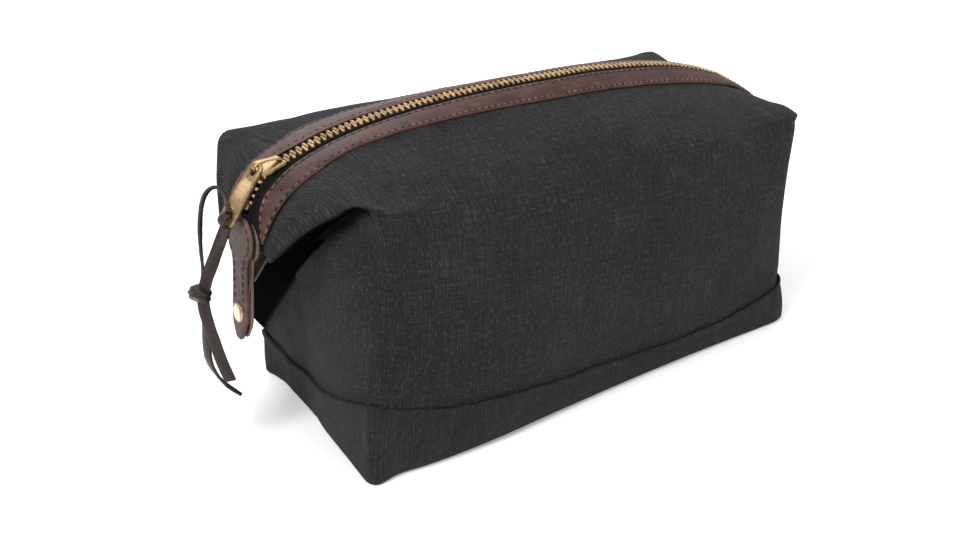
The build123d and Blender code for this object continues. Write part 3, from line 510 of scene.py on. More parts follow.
def rear_columns(front):
    """The rear half: the front's twin, with the left end's upper part dented in behind the tab."""
    c = front.copy()
    c[:, :, 1] *= -1
    # left end and left rear corner, columns 0..7
    c[:, 0] = front[:, 0]
    pull = {  # column: {row: (x, y, z)}
        1: {0: (-117.6, 11, 0.3), 1: (-118.6, 11, 5), 2: (-119.6, 11, 17.5), 3: (-122.2, 11, 35), 4: (-123.6, 11, 53), 5: (-119.0, 11, 66), 6: (-112.0, 10.4, 78), 7: (-107.0, 9, 86)},
        2: {0: (-115.8, 26, 0.3), 1: (-117.0, 26.4, 5), 2: (-118.6, 26.8, 17), 3: (-121.4, 26.6, 33), 4: (-116.4, 26.0, 50), 5: (-111.0, 25.0, 68), 6: (-109.0, 23.0, 88), 7: (-108.5, 19.5, 95)},
        3: {0: (-115.2, 38, 0.3), 1: (-116.4, 38.6, 5), 2: (-118.0, 39.4, 18), 3: (-119.4, 39.6, 32), 4: (-113.6, 39.0, 51), 5: (-110.6, 38.0, 74), 6: (-112.2, 34.0, 99), 7: (-111.5, 31.5, 104)},
        4: {0: (-115.6, 47, 0.3), 1: (-116.6, 47.8, 5), 2: (-117.6, 48.8, 19), 3: (-117.4, 49.4, 35), 4: (-114.8, 49.2, 54), 5: (-113.6, 48.0, 80), 6: (-117.6, 44.0, 107), 7: (-117.0, 43.0, 112)},
        5: {0: (-116.4, 53, 0.3), 1: (-117.0, 54.0, 5), 2: (-117.0, 55.0, 20), 3: (-116.8, 55.6, 38), 4: (-116.4, 55.8, 58), 5: (-117.2, 55.4, 86), 6: (-122.6, 52.6, 112), 7: (-123.0, 51.6, 116)},
        6: {0: (-114.4, 56.4, 0.3), 1: (-115.0, 57.6, 5), 2: (-114.6, 58.8, 20), 3: (-114.2, 59.6, 39), 4: (-114.0, 60.0, 60), 5: (-115.0, 60.0, 88), 6: (-121.0, 58.4, 112), 7: (-123.0, 58.0, 116), 8: (-126.4, 57.6, 119.0), 9: (-127.6, 55.4, 121.2), 10: (-127.4, 49.0, 122.6)},
        7: {0: (-106.4, 58.6, 0.3), 1: (-107.0, 60.4, 5), 2: (-107.4, 61.6, 18.0), 8: (-117.0, 59.4, 115.2), 9: (-117.8, 57.0, 119.4)},
    }
    shoulder = {  # fuller than in front, from the crest over the fold to the top
        7: {10: (-115.6, 50.0, 123.0), 11: (-113.6, 37.0, 126.2)},
        8: {6: (-102.6, 60.8, 104.5), 7: (-102.8, 60.2, 110.6), 8: (-103.0, 58.6, 116.0), 9: (-103.0, 55.6, 120.4), 10: (-102.4, 49.0, 123.2), 11: (-101.4, 37.5, 127.4)},
        9: {6: (-85.2, 61.0, 103.4), 7: (-85.2, 60.0, 109.8), 8: (-85.2, 58.2, 115.6), 9: (-85.2, 54.8, 120.2), 10: (-85.0, 48.4, 123.4), 11: (-84.8, 37.0, 128.2)},
        10: {6: (-62, 60.8, 102.8), 7: (-62, 59.6, 109.4), 8: (-62, 57.6, 115.4), 9: (-62, 54.2, 120.2), 10: (-62, 48.0, 123.6), 11: (-62, 36.4, 128.4)},
        11: {6: (-32, 60.2, 102.4), 7: (-32, 59.0, 109.2), 8: (-32, 57.0, 115.2), 9: (-32, 53.6, 120.2), 10: (-32, 47.4, 123.8), 11: (-32, 36.0, 128.4)},
        12: {6: (0, 59.8, 102.2), 7: (0, 58.6, 109.0), 8: (0, 56.6, 115.0), 9: (0, 53.2, 120.2), 10: (0, 47.0, 123.8), 11: (0, 35.6, 128.2)},
        13: {6: (34, 59.4, 102.2), 7: (34, 58.2, 109.0), 8: (34, 56.6, 115.0), 9: (34, 53.4, 120.0), 10: (34, 47.2, 123.4), 11: (34, 35.6, 127.2)},
        14: {6: (68, 58.6, 102.2), 7: (68, 57.8, 109.0), 8: (68, 56.6, 114.8), 9: (68, 54.0, 119.6), 10: (68, 47.6, 122.8), 11: (68, 35.8, 125.2)},
        15: {6: (94, 57.4, 102.4), 7: (94, 57.2, 108.8), 8: (94, 56.6, 114.8), 9: (94.6, 54.6, 119.4), 10: (94.4, 47.8, 121.8), 11: (94, 36.0, 123.0)},
        16: {6: (111.4, 56.8, 102.8), 7: (112.0, 57.0, 108.8), 8: (112.8, 56.8, 114.6), 9: (113.8, 55.0, 119.4), 10: (112.4, 48.0, 120.8), 11: (110.4, 36.4, 120.8)},
        17: {6: (120.4, 56.2, 104.4), 7: (121.6, 56.6, 110.4), 8: (123.0, 56.8, 115.6), 9: (124.6, 56.0, 119.8), 10: (122.4, 48.6, 120.0), 11: (118.8, 36.6, 119.2)},
        18: {6: (124.0, 54.0, 105.4), 7: (125.6, 54.8, 111.0), 8: (127.6, 55.2, 116.0), 9: (129.6, 54.8, 119.6), 10: (128.0, 47.6, 118.8), 11: (124.6, 35.6, 117.0)},
        19: {8: (126.6, 43.0, 111.6), 9: (130.6, 44.0, 114.8), 10: (130.4, 37.5, 114.4), 11: (129.8, 28.6, 113.0)},
    }
    for col in range(3, 8):
        for row, (dx, dy) in {0: (0.6, -1.6), 1: (1.0, -2.2), 2: (0.6, -2.6), 3: (-1.0, -0.6), 4: (-2.6, 0.0), 5: (-2.6, 0.0), 6: (-0.6, 0.0)}.items():
            if row in pull.get(col, {}):
                x, y, z = pull[col][row]
                pull[col][row] = (x + dx, y + dy, z)
    for col, rows in {4: {3: (-123.0, 48.6, 33), 4: (-121.4, 49.0, 54), 5: (-118.0, 48.0, 80)}, 5: {3: (-123.8, 55.2, 35), 4: (-122.6, 55.8, 58), 5: (-121.0, 55.4, 86)}, 6: {3: (-121.0, 60.0, 36), 4: (-119.8, 60.6, 60), 5: (-119.0, 60.4, 88)}}.items():
        for row, (x, y, z) in rows.items():
            pull[col][row] = (x - 0.4 if row == 3 else x, y, z)
    for col in range(0, 6):
        for row in range(0, 4):
            if row in pull.get(col, {}):
                x, y, z = pull[col][row]
                pull[col][row] = (x + (0.0, 0.8, 1.6, 0.4)[row], y, z)
    for table in (pull, shoulder):
        for col, rows in table.items():
            for row, p in rows.items():
                c[row, col] = p
    # fold edge a little further out than in front
    for col, p in {3: (-144.6, 34.0, 105.4), 4: (-138.6, 45.0, 114.4), 5: (-133.4, 52.2, 119.6)}.items():
        c[9, col] = p
    for col, p in {2: (-149.4, 16.6, 94.8), 3: (-147.0, 21.0, 104.6), 4: (-142.0, 25.6, 112.8), 5: (-134.4, 28.6, 119.2), 6: (-125.4, 31.0, 122.2)}.items():
        c[11, col] = p
    for col, p in {2: (-149.2, 14.0, 97.2), 3: (-146.6, 15.2, 105.0), 4: (-142.0, 16.2, 111.6), 5: (-135.0, 16.8, 118.2), 6: (-125.6, 17.0, 122.6)}.items():
        c[12, col] = p
    return c


FRONT = front_columns()
REAR = rear_columns(FRONT)
NR_SUB, NC_SUB = 7, 9


def dense(C, front):
    """Dense outer surface of one half, from the floor edge to the trim, drawn smoothly through the control points."""
    P = hermite(C, NR_SUB, 0)
    P = hermite(P, NC_SUB, 1)
    return P


def row_at(i):
    return i * NR_SUB


def gauss(d, w):
    return math.exp(-(d / w) ** 2)


def sculpt(P, front):
    """Creases and unevenness of the cloth, pushed along its normals."""
    N = grid_normals(P)
    if not front:
        N = -N
    D = np.zeros(P.shape[:2])
    s = -1.0 if front else 1.0
    nr, nc, _ = P.shape
    for i in range(nr):
        for j in range(nc):
            x, y, z = P[i, j]
            f = i / NR_SUB
            d = 0.55 * clay(x, y, z, 0.018, 1) + 0.35 * clay(x, y, z, 0.045, 2) + 0.12 * clay(x, y, z, 0.11, 3)
            d *= 1.25
            ay = abs(y)
            # nothing moves where the cloth is sewn or folded sharply
            keep = min(1.0, max(0.0, (f - 0.3) / 0.8)) * min(1.0, max(0.0, (12 - f) / 1.0))
            if x < -100 or x > 108:
                keep *= 0.45
            d *= keep
            if front:
                # ridge that runs down from the front left peak, and the hollow behind it
                t = (x + 126.0) / 22.0
                if -0.1 < t < 1.6 and z < 121:
                    zr = 119.0 - 26.0 * t
                    d += 1.5 * gauss(z - zr, 5.0) * gauss(t - 0.45, 0.55)
                    d -= 1.3 * gauss(z - (zr + 9.0), 5.5) * gauss(t - 0.5, 0.6)
                # soft dent beside the peak on the top
                d -= 1.7 * gauss(x + 112, 9) * gauss(ay - 50, 6) * (1 if z > 112 else 0.3)
                # faint drag lines from the trim towards the peak
                u = (x + 128.0) + 0.5 * (ay - 30)
                d += 0.7 * gauss(u - 2, 3.0) * gauss(ay - 34, 12) * (1 if z > 110 else 0)
                d -= 0.6 * gauss(u - 9, 3.2) * gauss(ay - 36, 12) * (1 if z > 110 else 0)
                d += 0.6 * gauss(u - 17, 4.0) * gauss(ay - 38, 12) * (1 if z > 110 else 0)
                # long shallow waves on the front
                d += 0.8 * gauss((x + 52) + 0.35 * (z - 60), 16) * gauss(z - 80, 34)
                d -= 0.7 * gauss((x - 8) + 0.25 * (z - 60), 20) * gauss(z - 78, 30)
                d += 0.5 * gauss((x - 60) - 0.2 * (z - 60), 18) * gauss(z - 70, 34)
                # puckers where the wall meets the base band
                if 2 <= f < 3.3:
                    d += 0.35 * math.sin(x / 5.5) * (1 - (f - 2) / 1.3) * 0.6
            D[i, j] = d
    return P + N * D[..., None]


PF = sculpt(dense(FRONT, True), True)
PR = sculpt(dense(REAR, False), False)
for P in (PF, PR):      # borders on the middle plane stay shared
    P[:, 0, 1] = 0.0
    P[:, -1, 1] = 0.0
PR[:, 0] = PF[:, 0]
PR[:, -1] = PF[:, -1]


def halves(P):
    """Column where x crosses zero, and the two parts that share it."""
    mid = int(np.argmin(np.abs(P[-1, :, 0])))
    P = P.copy()
    P[:, mid, 0] = 0.0 if abs(P[:, mid, 0]).max() < 6 else P[:, mid, 0]
    return P[:, : mid + 1], P[:, mid:], mid


MOVES = []      # (object, "front" or "rear", "cloth" or "strip", "left" or "right")


SHADE_Y = [-55.7, -35.5, -16.0, -0.8, 4.1, 13.2, 22.7, 32.8, 39.1, 52.0]
SHADE_Z = [118.9, 106.8, 93.7, 79.4, 69.3, 59.7, 50.3, 37.3, 28.7, 8.0]


def painted_fold_shade(P, front):
    """1 where the wax cloth lies inside the hollow folds of the ends: painted shade there, which takes the canvas to
    near black and cuts its shine.
    """
    nr, nc, _ = P.shape
    D = np.zeros((nr, nc))
    for i in range(nr):
        f = i / NR_SUB
        under = min(1.0, max(0.0, (8.97 - f) / 0.3))
        for j in range(nc):
            x, y, z = P[i, j]
            g = j / NC_SUB
            if g < 11:
                d = z + 0.9 * (abs(x) - 125.0) - float(np.interp(y, SHADE_Y, SHADE_Z))
                k = min(1.0, max(0.0, d / 3.5 + 0.35)) * under * min(1.0, max(0.0, (6.3 - g) / 0.7))
            else:
                k = min(1.0, max(0.0, (f - 6.15) / 0.5)) * under * min(1.0, max(0.0, (g - 18.3) / 0.7))
            D[i, j] = k
    return D


def body_panels():
    r0 = row_at(SEAM_ROW) - 3
    for P, nm in ((PF, "front"), (PR, "rear")):
        N = grid_normals(P)
        if nm == "rear":
            N = -N
        Q = P.copy()
        # drawn in along the lapped seam
        for i in range(r0, row_at(SEAM_ROW) + 5):
            k = gauss(i - row_at(SEAM_ROW) - 0.4, 1.6)
            Q[i] -= N[i] * 0.75 * k
        # painted shade inside the folds of the ends
        fold_shade = painted_fold_shade(P, nm == "front")[r0:]
        Q = Q[r0:]
        N = N[r0:]
        N[-1] = N[-2]
        cloth = cloth_coords(Q)
        l, r_, mid = halves(Q)
        for part, sl in (("left", slice(0, mid + 1)), ("right", slice(mid, None))):
            pts = Q[:, sl].copy()
            j = -1 if part == "left" else 0
            pts[:, j, 0] = 0.0
            nn = N[:, sl].copy()
            nn[:, j, 0] = 0.0
            nn /= np.linalg.norm(nn, axis=-1, keepdims=True)
            if part == "left":
                nn[:, 0, 1] = 0.0
            else:
                nn[:, -1, 1] = 0.0
            ob = shell(f"{nm}_canvas_{part}", pts, 1.1, [CANVAS, LINING], normals=nn, inner_mat=0, cloth=cloth[:, sl], flip=False, fold_shade=fold_shade[:, sl])
            if nm == "rear":
                ob.data.flip_normals()
            MOVES.append((ob, nm, "cloth", part))


def base_canvas():
    """Floor and turned-up band, one closed bowl whose folded top edge laps over the walls."""
    k = row_at(SEAM_ROW)
    loops, coords = [], []
    NF, NRr = grid_normals(PF), -grid_normals(PR)

    def loop(i, off, dz=0.0):
        a_ = PF[i] + NF[i] * off
        b_ = PR[i] + NRr[i] * off
        L = np.concatenate([a_, b_[-2:0:-1]])
        L = L.copy()
        L[:, 2] = np.maximum(L[:, 2] + dz, 0.12)
        return L

    def flat(scale, z):
        L = loop(0, 0.0)
        cx, cy = 2.0, 0.0
        L[:, 0] = cx + (L[:, 0] - cx) * scale
        L[:, 1] = cy + (L[:, 1] - cy) * scale
        L[:, 2] = z
        return L

    for sc in (0.02, 0.25, 0.5, 0.75, 0.9, 0.97):
        loops.append(flat(sc, 0.15 if sc > 0.9 else 0.5))
    loops.append(loop(0, 0.0, -0.2))
    for i in range(1, k - 1):
        loops.append(loop(i, 0.75 + 0.15 * min(1.0, i / 4.0)))
    # rolled top edge
    loops.append(loop(k, 1.10, -2.2))
    loops.append(loop(k, 1.35, -0.9))
    loops.append(loop(k, 1.30, -0.1))
    loops.append(loop(k, 0.85, 0.45))
    loops.append(loop(k, 0.25, 0.35))
    loops.append(loop(k, 0.1, -0.7))
    for i in range(k - 2, 0, -2):
        loops.append(loop(i, 0.15))
    loops.append(loop(0, -1.0, 1.4))
    for sc in (0.95, 0.75, 0.5, 0.25, 0.02):
        loops.append(flat(sc, 1.6))
    L = np.array(loops)
    nl, nc, _ = L.shape
    # the folded edge wavers a little
    for i in range(nl):
        for j in range(nc):
            x, y, z = L[i, j]
            if z > 6:
                L[i, j, 2] += 0.4 * clay(x, y, 0, 0.09, 11) + 0.35 * clay(x, y, 0, 0.3, 12)
    u = np.concatenate([[0], np.cumsum(np.linalg.norm(np.diff(L[8], axis=0), axis=-1))])
    C = np.zeros((nl, nc, 3))
    dv = np.concatenate([np.zeros((1, nc)), np.cumsum(np.linalg.norm(np.diff(L, axis=0), axis=-1), axis=0)])
    C[..., 0] = u[None, :] * MM
    C[..., 1] = dv * MM
    V = list(L.reshape(-1, 3))
    Cc = list(C.reshape(-1, 3))
    F = []
    for i in range(nl - 1):
        for j in range(nc):
            j2 = (j + 1) % nc
            F.append((i * nc + j, i * nc + j2, (i + 1) * nc + j2, (i + 1) * nc + j))
    for i, z in ((0, 0.5), (nl - 1, 1.6)):
        V.append(np.array([2.0, 0.0, z]))
        Cc.append(C[i, 0])
        c_ = len(V) - 1
        for j in range(nc):
            j2 = (j + 1) % nc
            F.append((c_, i * nc + j2, i * nc + j) if i == 0 else (c_, i * nc + j, i * nc + j2))
    ob = mesh_obj("base_canvas", V, F, [CANVAS], attrs={"cloth": np.array(Cc)})
    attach(ob, "bag")
    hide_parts("base_panel")
    return ob


def lining_panels():
    """Plain inner bag, seen only through the open mouth."""
    obs = []
    for C, nm, s in ((FRONT, "front", -1), (REAR, "rear", 1)):
        rows = []
        for i in (0, 2, 3, 4, 5, 6, 10, 11, 12):
            row = C[i].copy()
            inset = 4.0 if i < 6 else 3.0
            row[:, 0] = np.clip(row[:, 0], -104.0 if i < 5 else -97.0, 108.0 if i < 5 else 96.0)
            lim = np.abs(row[:, 1]) - inset
            row[:, 1] = s * np.maximum(lim, 0)
            if i >= 10:
                for j in range(row.shape[0]):
                    x = row[j, 0]
                    ay = min(abs(row[j, 1]), 50.0)
                    if abs(C[i, j, 0]) > 100:
                        ay = {10: 46.0, 11: 34.0, 12: 17.5}[i] * min(1.0, abs(C[0, j, 1]) / 50.0)
                        row[j, 1] = s * ay
                    edge = on_arc(x, 444.8) + lift(x)
                    t = min(1.0, max(0.0, (50.0 - ay) / 32.5))
                    row[j, 2] = 110.5 + (edge - 110.5) * (1 - (1 - t) ** 1.25)
            elif i == 6:
                row[:, 2] = 104.0
            row[:, 2] = np.maximum(row[:, 2], 2.6)
            rows.append(row)
        P = hermite(np.array(rows), 5, 0)
        P = hermite(P, 5, 1)
        P[:, 0, 1] = 0.0
        P[:, -1, 1] = 0.0
        for i in range(P.shape[0]):
            for j in range(1, P.shape[1] - 1):
                x, y, z = P[i, j]
                k = 0.8 * min(1.0, i / 8.0) * min(1.0, (P.shape[0] - 1 - i) / 5.0)
                P[i, j, 1] -= s * (0.9 + clay(x, y, z, 0.05, 21)) * k
        cloth = cloth_coords(P)
        l, r_, mid = halves(P)
        low = 5 * 5            # the walls end here and the lips' lining begins
        for part, sl, lip in (("left", slice(0, mid + 1), slice(8 * 5, mid + 1)), ("right", slice(mid, None), slice(mid, 16 * 5 + 1))):
            for name, rows_, cols in ((f"{nm}_lining_{part}", slice(0, low + 1), sl), (f"{nm}_lip_lining_{part}", slice(low, None), lip)):
                pts = P[rows_, cols].copy()
                pts[:, -1 if part == "left" else 0, 0] = 0.0
                N = grid_normals(pts)
                ob = shell(name, pts, 0.4 * (1 if s < 0 else -1), [LINING], normals=N, cloth=cloth[rows_, cols])
                if nm == "rear":
                    ob.data.flip_normals()
                if cols is sl:
                    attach(ob, "bag")
                    if name == "front_lining_left":
                        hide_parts("lining")
                else:
                    MOVES.append((ob, nm, "cloth", part))
                obs.append(ob)
    # floor of the lining
    F_ = hermite(hermite(np.array([[(x, y, 2.2) for x in np.linspace(-111, 112, 6)] for y in np.linspace(-50, 50, 5)], float), 4, 0), 6, 1)
    for i in range(F_.shape[0]):
        for j in range(F_.shape[1]):
            F_[i, j, 2] += 0.5 * clay(F_[i, j, 0], F_[i, j, 1], 0, 0.04, 31)
    ob = shell("lining_floor", F_, 0.4, [LINING])
    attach(ob, "bag")
    return obs, ob


body_panels()
base_canvas()
lining_obs, lining_floor = lining_panels()


# ------------------------------------------------------------------ zip, tapes and leather trims
def end_side(x_edge):
    return x_edge < -6


XS_L, XS_R = -140.5, 128.5     # where the turned-down ends take over from the arc


def strip_path(height, ay, left, right, x0, x1, n=110):
    """Points along one edge of a strip: turned down at the left, along the top, turned down at the right."""
    arc = [(x, ay, height(x)) for x in np.linspace(x0, x1, n)]
    ctrl_l = hermite(np.array(left + arc[:3], float), 8)[: 8 * len(left)]
    ctrl_r = hermite(np.array(arc[-3:] + right, float), 8)[16:]
    return np.concatenate([ctrl_l, np.array(arc), ctrl_r[1:]])


def resample(A, B, step):
    """Both edges of a strip at even spacing along their middle."""
    M_ = (A + B) / 2
    t = np.concatenate([[0], np.cumsum(np.linalg.norm(np.diff(M_, axis=0), axis=1))])
    n = max(8, int(round(t[-1] / step)))
    tt = np.linspace(0, t[-1], n + 1)
    f = lambda P: np.stack([np.interp(tt, t, P[:, k]) for k in range(3)], -1)
    return f(A), f(B), tt


def split_at_zero(A, B):
    M_ = (A + B) / 2
    k = int(np.argmin(np.abs(M_[:, 0])))
    A, B = A.copy(), B.copy()
    A[k, 0] = B[k, 0] = 0.0
    return k, A, B


TRIM_PROFILE = [(0.000, -0.35), (0.000, 0.25), (0.018, 0.62), (0.060, 0.74), (0.100, 0.66), (0.118, 0.42), (0.140, 0.66),
                (0.22, 0.84), (0.50, 1.00), (0.78, 0.84), (0.860, 0.66), (0.882, 0.42), (0.900, 0.66), (0.940, 0.74),
                (0.982, 0.62), (1.000, 0.25), (1.000, -0.35), (0.985, -0.62), (0.50, -0.62), (0.015, -0.62)]
RIM_FLAG = [1, 1, 0.75, 0.12, 0, 0, 0, 0, 0, 0, 0, 0, 0, 0.12, 0.75, 1, 1, 0.9, 0.6, 0.9]


def strip_mesh(name, A, B, profile, rim, mat, scale_h=1.0, up_sign=1, start_taper=0, end_taper=0):
    """Sweeps a flat profile between two edge lines; closed at both ends."""
    n, k = len(A), len(profile)
    M_ = (A + B) / 2
    T = np.gradient(M_, axis=0)
    T /= np.linalg.norm(T, axis=1, keepdims=True)
    W = B - A
    N = np.cross(T, W) * up_sign
    N /= np.linalg.norm(N, axis=1, keepdims=True)
    V, R, C = [], [], []
    t = np.concatenate([[0], np.cumsum(np.linalg.norm(np.diff(M_, axis=0), axis=1))])
    wid = np.linalg.norm(W, axis=1).mean()
    for i in range(n):
        for (w, h), rf in zip(profile, rim):
            V.append(A[i] + W[i] * w + N[i] * h * scale_h)
            R.append(rf)
            C.append((t[i] * MM, w * wid * MM, 0))
    F = []
    for i in range(n - 1):
        for j in range(k):
            j2 = (j + 1) % k
            F.append((i * k + j, i * k + j2, (i + 1) * k + j2, (i + 1) * k + j))
    F.append(tuple(range(k - 1, -1, -1)))
    F.append(tuple((n - 1) * k + j for j in range(k)))
    if up_sign < 0:
        F = [f[::-1] for f in F]
    return mesh_obj(name, V, F, [mat], attrs={"rim": np.array(R), "cloth": np.array(C)}), N, T


THREAD = leather_material("stitch_thread_brown", lin(58, 38, 33), lin(88, 64, 56), lin(118, 92, 82), lin(60, 40, 36), rough=(0.4, 0.6), wear=0.0)
# near-black beads laid on the leather between the stitches: painted shade of the stitch holes
STITCH_HOLE_SHADE = leather_material("stitch_hole_shade", lin(10, 6, 6), lin(16, 10, 9), lin(24, 16, 14), lin(20, 12, 11), rough=(0.7, 0.9), wear=0.0)
# the rear trim is the same leather as the front trim, drawn lighter and greyer with paler edges: painted light
TRIM_REAR_LIT = leather_material("trim_leather_rear_lit", lin(42, 30, 29), lin(66, 48, 46), lin(92, 72, 69), lin(132, 106, 92), wear=0.6, rough=(0.45, 0.65))


def capsule(p, t, n, length, width, height):
    """Low-poly stitch: a long rounded bead along t."""
    s = np.cross(n, t)
    V = []
    rings = [(-0.5, 0.35), (-0.36, 0.9), (0.0, 1.0), (0.36, 0.9), (0.5, 0.35)]
    for u, k in rings:
        for q in range(6):
            an = math.pi * 2 * q / 6
            V.append(p + t * u * length + s * math.cos(an) * width * 0.5 * k + n * math.sin(an) * height * 0.5 * k)
    F = []
    for i in range(len(rings) - 1):
        for q in range(6):
            q2 = (q + 1) % 6
            F.append((i * 6 + q, i * 6 + q2, (i + 1) * 6 + q2, (i + 1) * 6 + q))
    F.append(tuple(range(5, -1, -1)))
    F.append(tuple((len(rings) - 1) * 6 + q for q in range(6)))
    return V, F


def merge(name, parts, mats, attrs=None):
    V, F, o = [], [], 0
    for v, f in parts:
        V += [np.asarray(p) for p in v]
        F += [tuple(i + o for i in g) for g in f]
        o = len(V)
    return mesh_obj(name, V, F, mats, attrs=attrs)


def stitch_rows(name, A, B, N, T, rows, pitch=3.5, lo=0, hi=None, lift_h=0.60, gap=False):
    """Stitches along the given shares of a strip's width."""
    M_ = (A + B) / 2
    t = np.concatenate([[0], np.cumsum(np.linalg.norm(np.diff(M_, axis=0), axis=1))])
    parts = []
    hi = t[-1] if hi is None else hi
    for w in rows:
        P = A + (B - A) * w + N * lift_h
        s = lo + 3.0 + (pitch / 2 if gap else 0)
        k = 0
        while s < hi - 3.0:
            p = np.array([np.interp(s, t, P[:, q]) for q in range(3)])
            p2 = np.array([np.interp(s + 0.5, t, P[:, q]) for q in range(3)])
            d = p2 - p
            d /= max(np.linalg.norm(d), 1e-6)
            nn = np.array([np.interp(s, t, N[:, q]) for q in range(3)])
            nn /= np.linalg.norm(nn)
            tilt = d + nn * 0.05 * ((k % 3) - 1)
            tilt /= np.linalg.norm(tilt)
            # gap beads: painted shade of the holes between the stitches
            if gap:
                parts.append(capsule(p + nn * 0.12, d, nn, 1.5, 1.05, 0.3))
            else:
                parts.append(capsule(p + nn * 0.12, tilt, nn, 2.2, 0.95, 0.66))
            s += pitch
            k += 1
    return merge(name, parts, [STITCH_HOLE_SHADE if gap else THREAD])


def trims():
    in_l = [(-149.9, 13.6, 97.0), (-149.8, 12.6, 102.4), (-149.2, 11.2, 108.8), (-146.9, 10.0, 113.6), (-142.2, 8.8, 117.6), (-136.2, 7.8, 121.3), (-128.4, 7.0, 124.9)]
    out_l = [(-150.0, 14.6, 96.6), (-148.7, 15.8, 101.6), (-146.2, 17.0, 107.6), (-142.6, 17.7, 112.9), (-138.0, 18.2, 117.3), (-132.4, 18.3, 120.9), (-125.6, 18.2, 124.0)]
    in_r = [(118.4, 6.8, 121.2), (124.6, 7.2, 118.3), (130.0, 8.0, 115.2), (134.8, 9.6, 111.4), (137.2, 11.2, 107.2), (137.9, 12.6, 102.4), (137.9, 13.6, 97.2)]
    out_r = [(113.4, 18.2, 120.6), (119.6, 18.4, 118.0), (125.4, 18.3, 115.2), (130.6, 17.7, 111.6), (134.2, 17.0, 107.0), (136.6, 15.8, 101.6), (138.0, 14.6, 96.8)]
    for nm, s in (("front", -1), ("rear", 1)):
        A = strip_path(lambda x: on_arc(x, 450.35) + lift(x), 6.5, in_l, in_r, -121.0, 112.0)
        B = strip_path(lambda x: trim_edge(x), 18.1, out_l, out_r, -118.0, 107.0)
        for P in (A, B):
            P[:, 1] *= s
        for i in range(len(A)):
            x = A[i, 0]
            A[i, 1] += s * 0.22 * clay(x, 0, 0, 0.08, 41 + s)
            B[i, 1] += s * 0.30 * clay(x, 0, 0, 0.07, 43 + s)
            A[i, 2] += 0.20 * clay(x, 0, 0, 0.06, 45 + s)
            B[i, 2] += 0.25 * clay(x, 0, 0, 0.06, 47 + s)
        A, B, tt = resample(A, B, 1.3)
        k, A, B = split_at_zero(A, B)
        up = 1 if s > 0 else -1
        for part, sl in (("left", slice(0, k + 1)), ("right", slice(k, None))):
            ob, N, T = strip_mesh(f"{nm}_trim_leather_{part}", A[sl], B[sl], TRIM_PROFILE, RIM_FLAG, TRIM if s < 0 else TRIM_REAR_LIT, up_sign=up)
            MOVES.append((ob, nm, "strip", part))
            for suf, gap in (("stitches", False), ("stitch_holes", True)):
                st = stitch_rows(f"{nm}_trim_{suf}_{part}", A[sl], B[sl], N, T, (0.118, 0.882), gap=gap)
                MOVES.append((st, nm, "strip", part))


TAPE_PROFILE = [(0.0, -0.25), (0.0, 0.25), (0.5, 0.27), (1.0, 0.25), (1.0, -0.25), (0.5, -0.27)]


def tapes():
    in_l = [(-150.6, 2.2, 97.0), (-150.2, 3.0, 104.0), (-147.9, 3.6, 110.6), (-145.2, 3.4, 115.2)]
    out_l = [(-149.3, 12.6, 97.4), (-148.6, 13.2, 104.0), (-146.0, 13.8, 109.4), (-142.8, 14.4, 114.0)]
    in_r = [(131.8, 3.2, 111.6), (134.4, 3.4, 107.2), (136.4, 3.0, 101.6), (137.2, 2.2, 96.0)]
    out_r = [(-12.0 - x - 0.4, y, z - 2.4) for x, y, z in out_l[::-1]]
    for nm, s in (("front", -1), ("rear", 1)):
        A = strip_path(lambda x: on_arc(x, 449.9) + lift(x), 2.5, in_l, in_r, XS_L, XS_R)
        B = strip_path(lambda x: on_arc(x, 449.0) + lift(x) - 0.72 * edge_drop(x) - 0.7, 14.6, out_l, out_r, XS_L, XS_R)
        for P in (A, B):
            P[:, 1] *= s
        # the two rows part in front of the slider
        for i in range(len(A)):
            x = A[i, 0]
            if x < -137:
                A[i, 1] = s * max(abs(A[i, 1]), 2.9 + 0.6 * min(1.0, (-137 - x) / 6.0))
        A, B, tt = resample(A, B, 1.5)
        k, A, B = split_at_zero(A, B)
        up = 1 if s > 0 else -1
        for part, sl in (("left", slice(0, k + 1)), ("right", slice(k, None))):
            ob, N, T = strip_mesh(f"{nm}_zip_tape_{part}", A[sl], B[sl], TAPE_PROFILE, [0] * 6, TAPE, up_sign=up)
            MOVES.append((ob, nm, "strip", part))
            # woven cord along the tape's edge that the teeth clamp
            P = A[sl] + N * 0.15
            V, F, C = [], [], []
            for i in range(len(P)):
                w = (B[sl][i] - A[sl][i])
                w = w / np.linalg.norm(w)
                for q in range(6):
                    an = 2 * math.pi * q / 6
                    V.append(P[i] + w * (0.5 + 0.75 * math.cos(an)) + N[i] * 0.75 * math.sin(an))
                    C.append((i * 0.0015, q * 0.0008, 0))
            for i in range(len(P) - 1):
                for q in range(6):
                    q2 = (q + 1) % 6
                    F.append((i * 6 + q, i * 6 + q2, (i + 1) * 6 + q2, (i + 1) * 6 + q)[::up])
            F.append(tuple(range(5, -1, -1))[::up]); F.append(tuple((len(P) - 1) * 6 + q for q in range(6))[::up])
            cord_ = mesh_obj(f"{nm}_zip_cord_{part}", V, F, [TAPE], attrs={"cloth": np.array(C)})
            MOVES.append((cord_, nm, "strip", part))


# outline of one tooth seen from above: (along the chain, across, from the tip side outwards)
TOOTH = [(-0.44, -0.95), (0.44, -0.95), (0.62, -0.6), (0.64, 0.1), (0.46, 0.5), (0.46, 1.15), (0.68, 1.5), (0.70, 2.8), (0.55, 3.15), (-0.55, 3.15), (-0.70, 2.8), (-0.68, 1.5), (-0.46, 1.15), (-0.46, 0.5), (-0.64, 0.1), (-0.62, -0.6)]


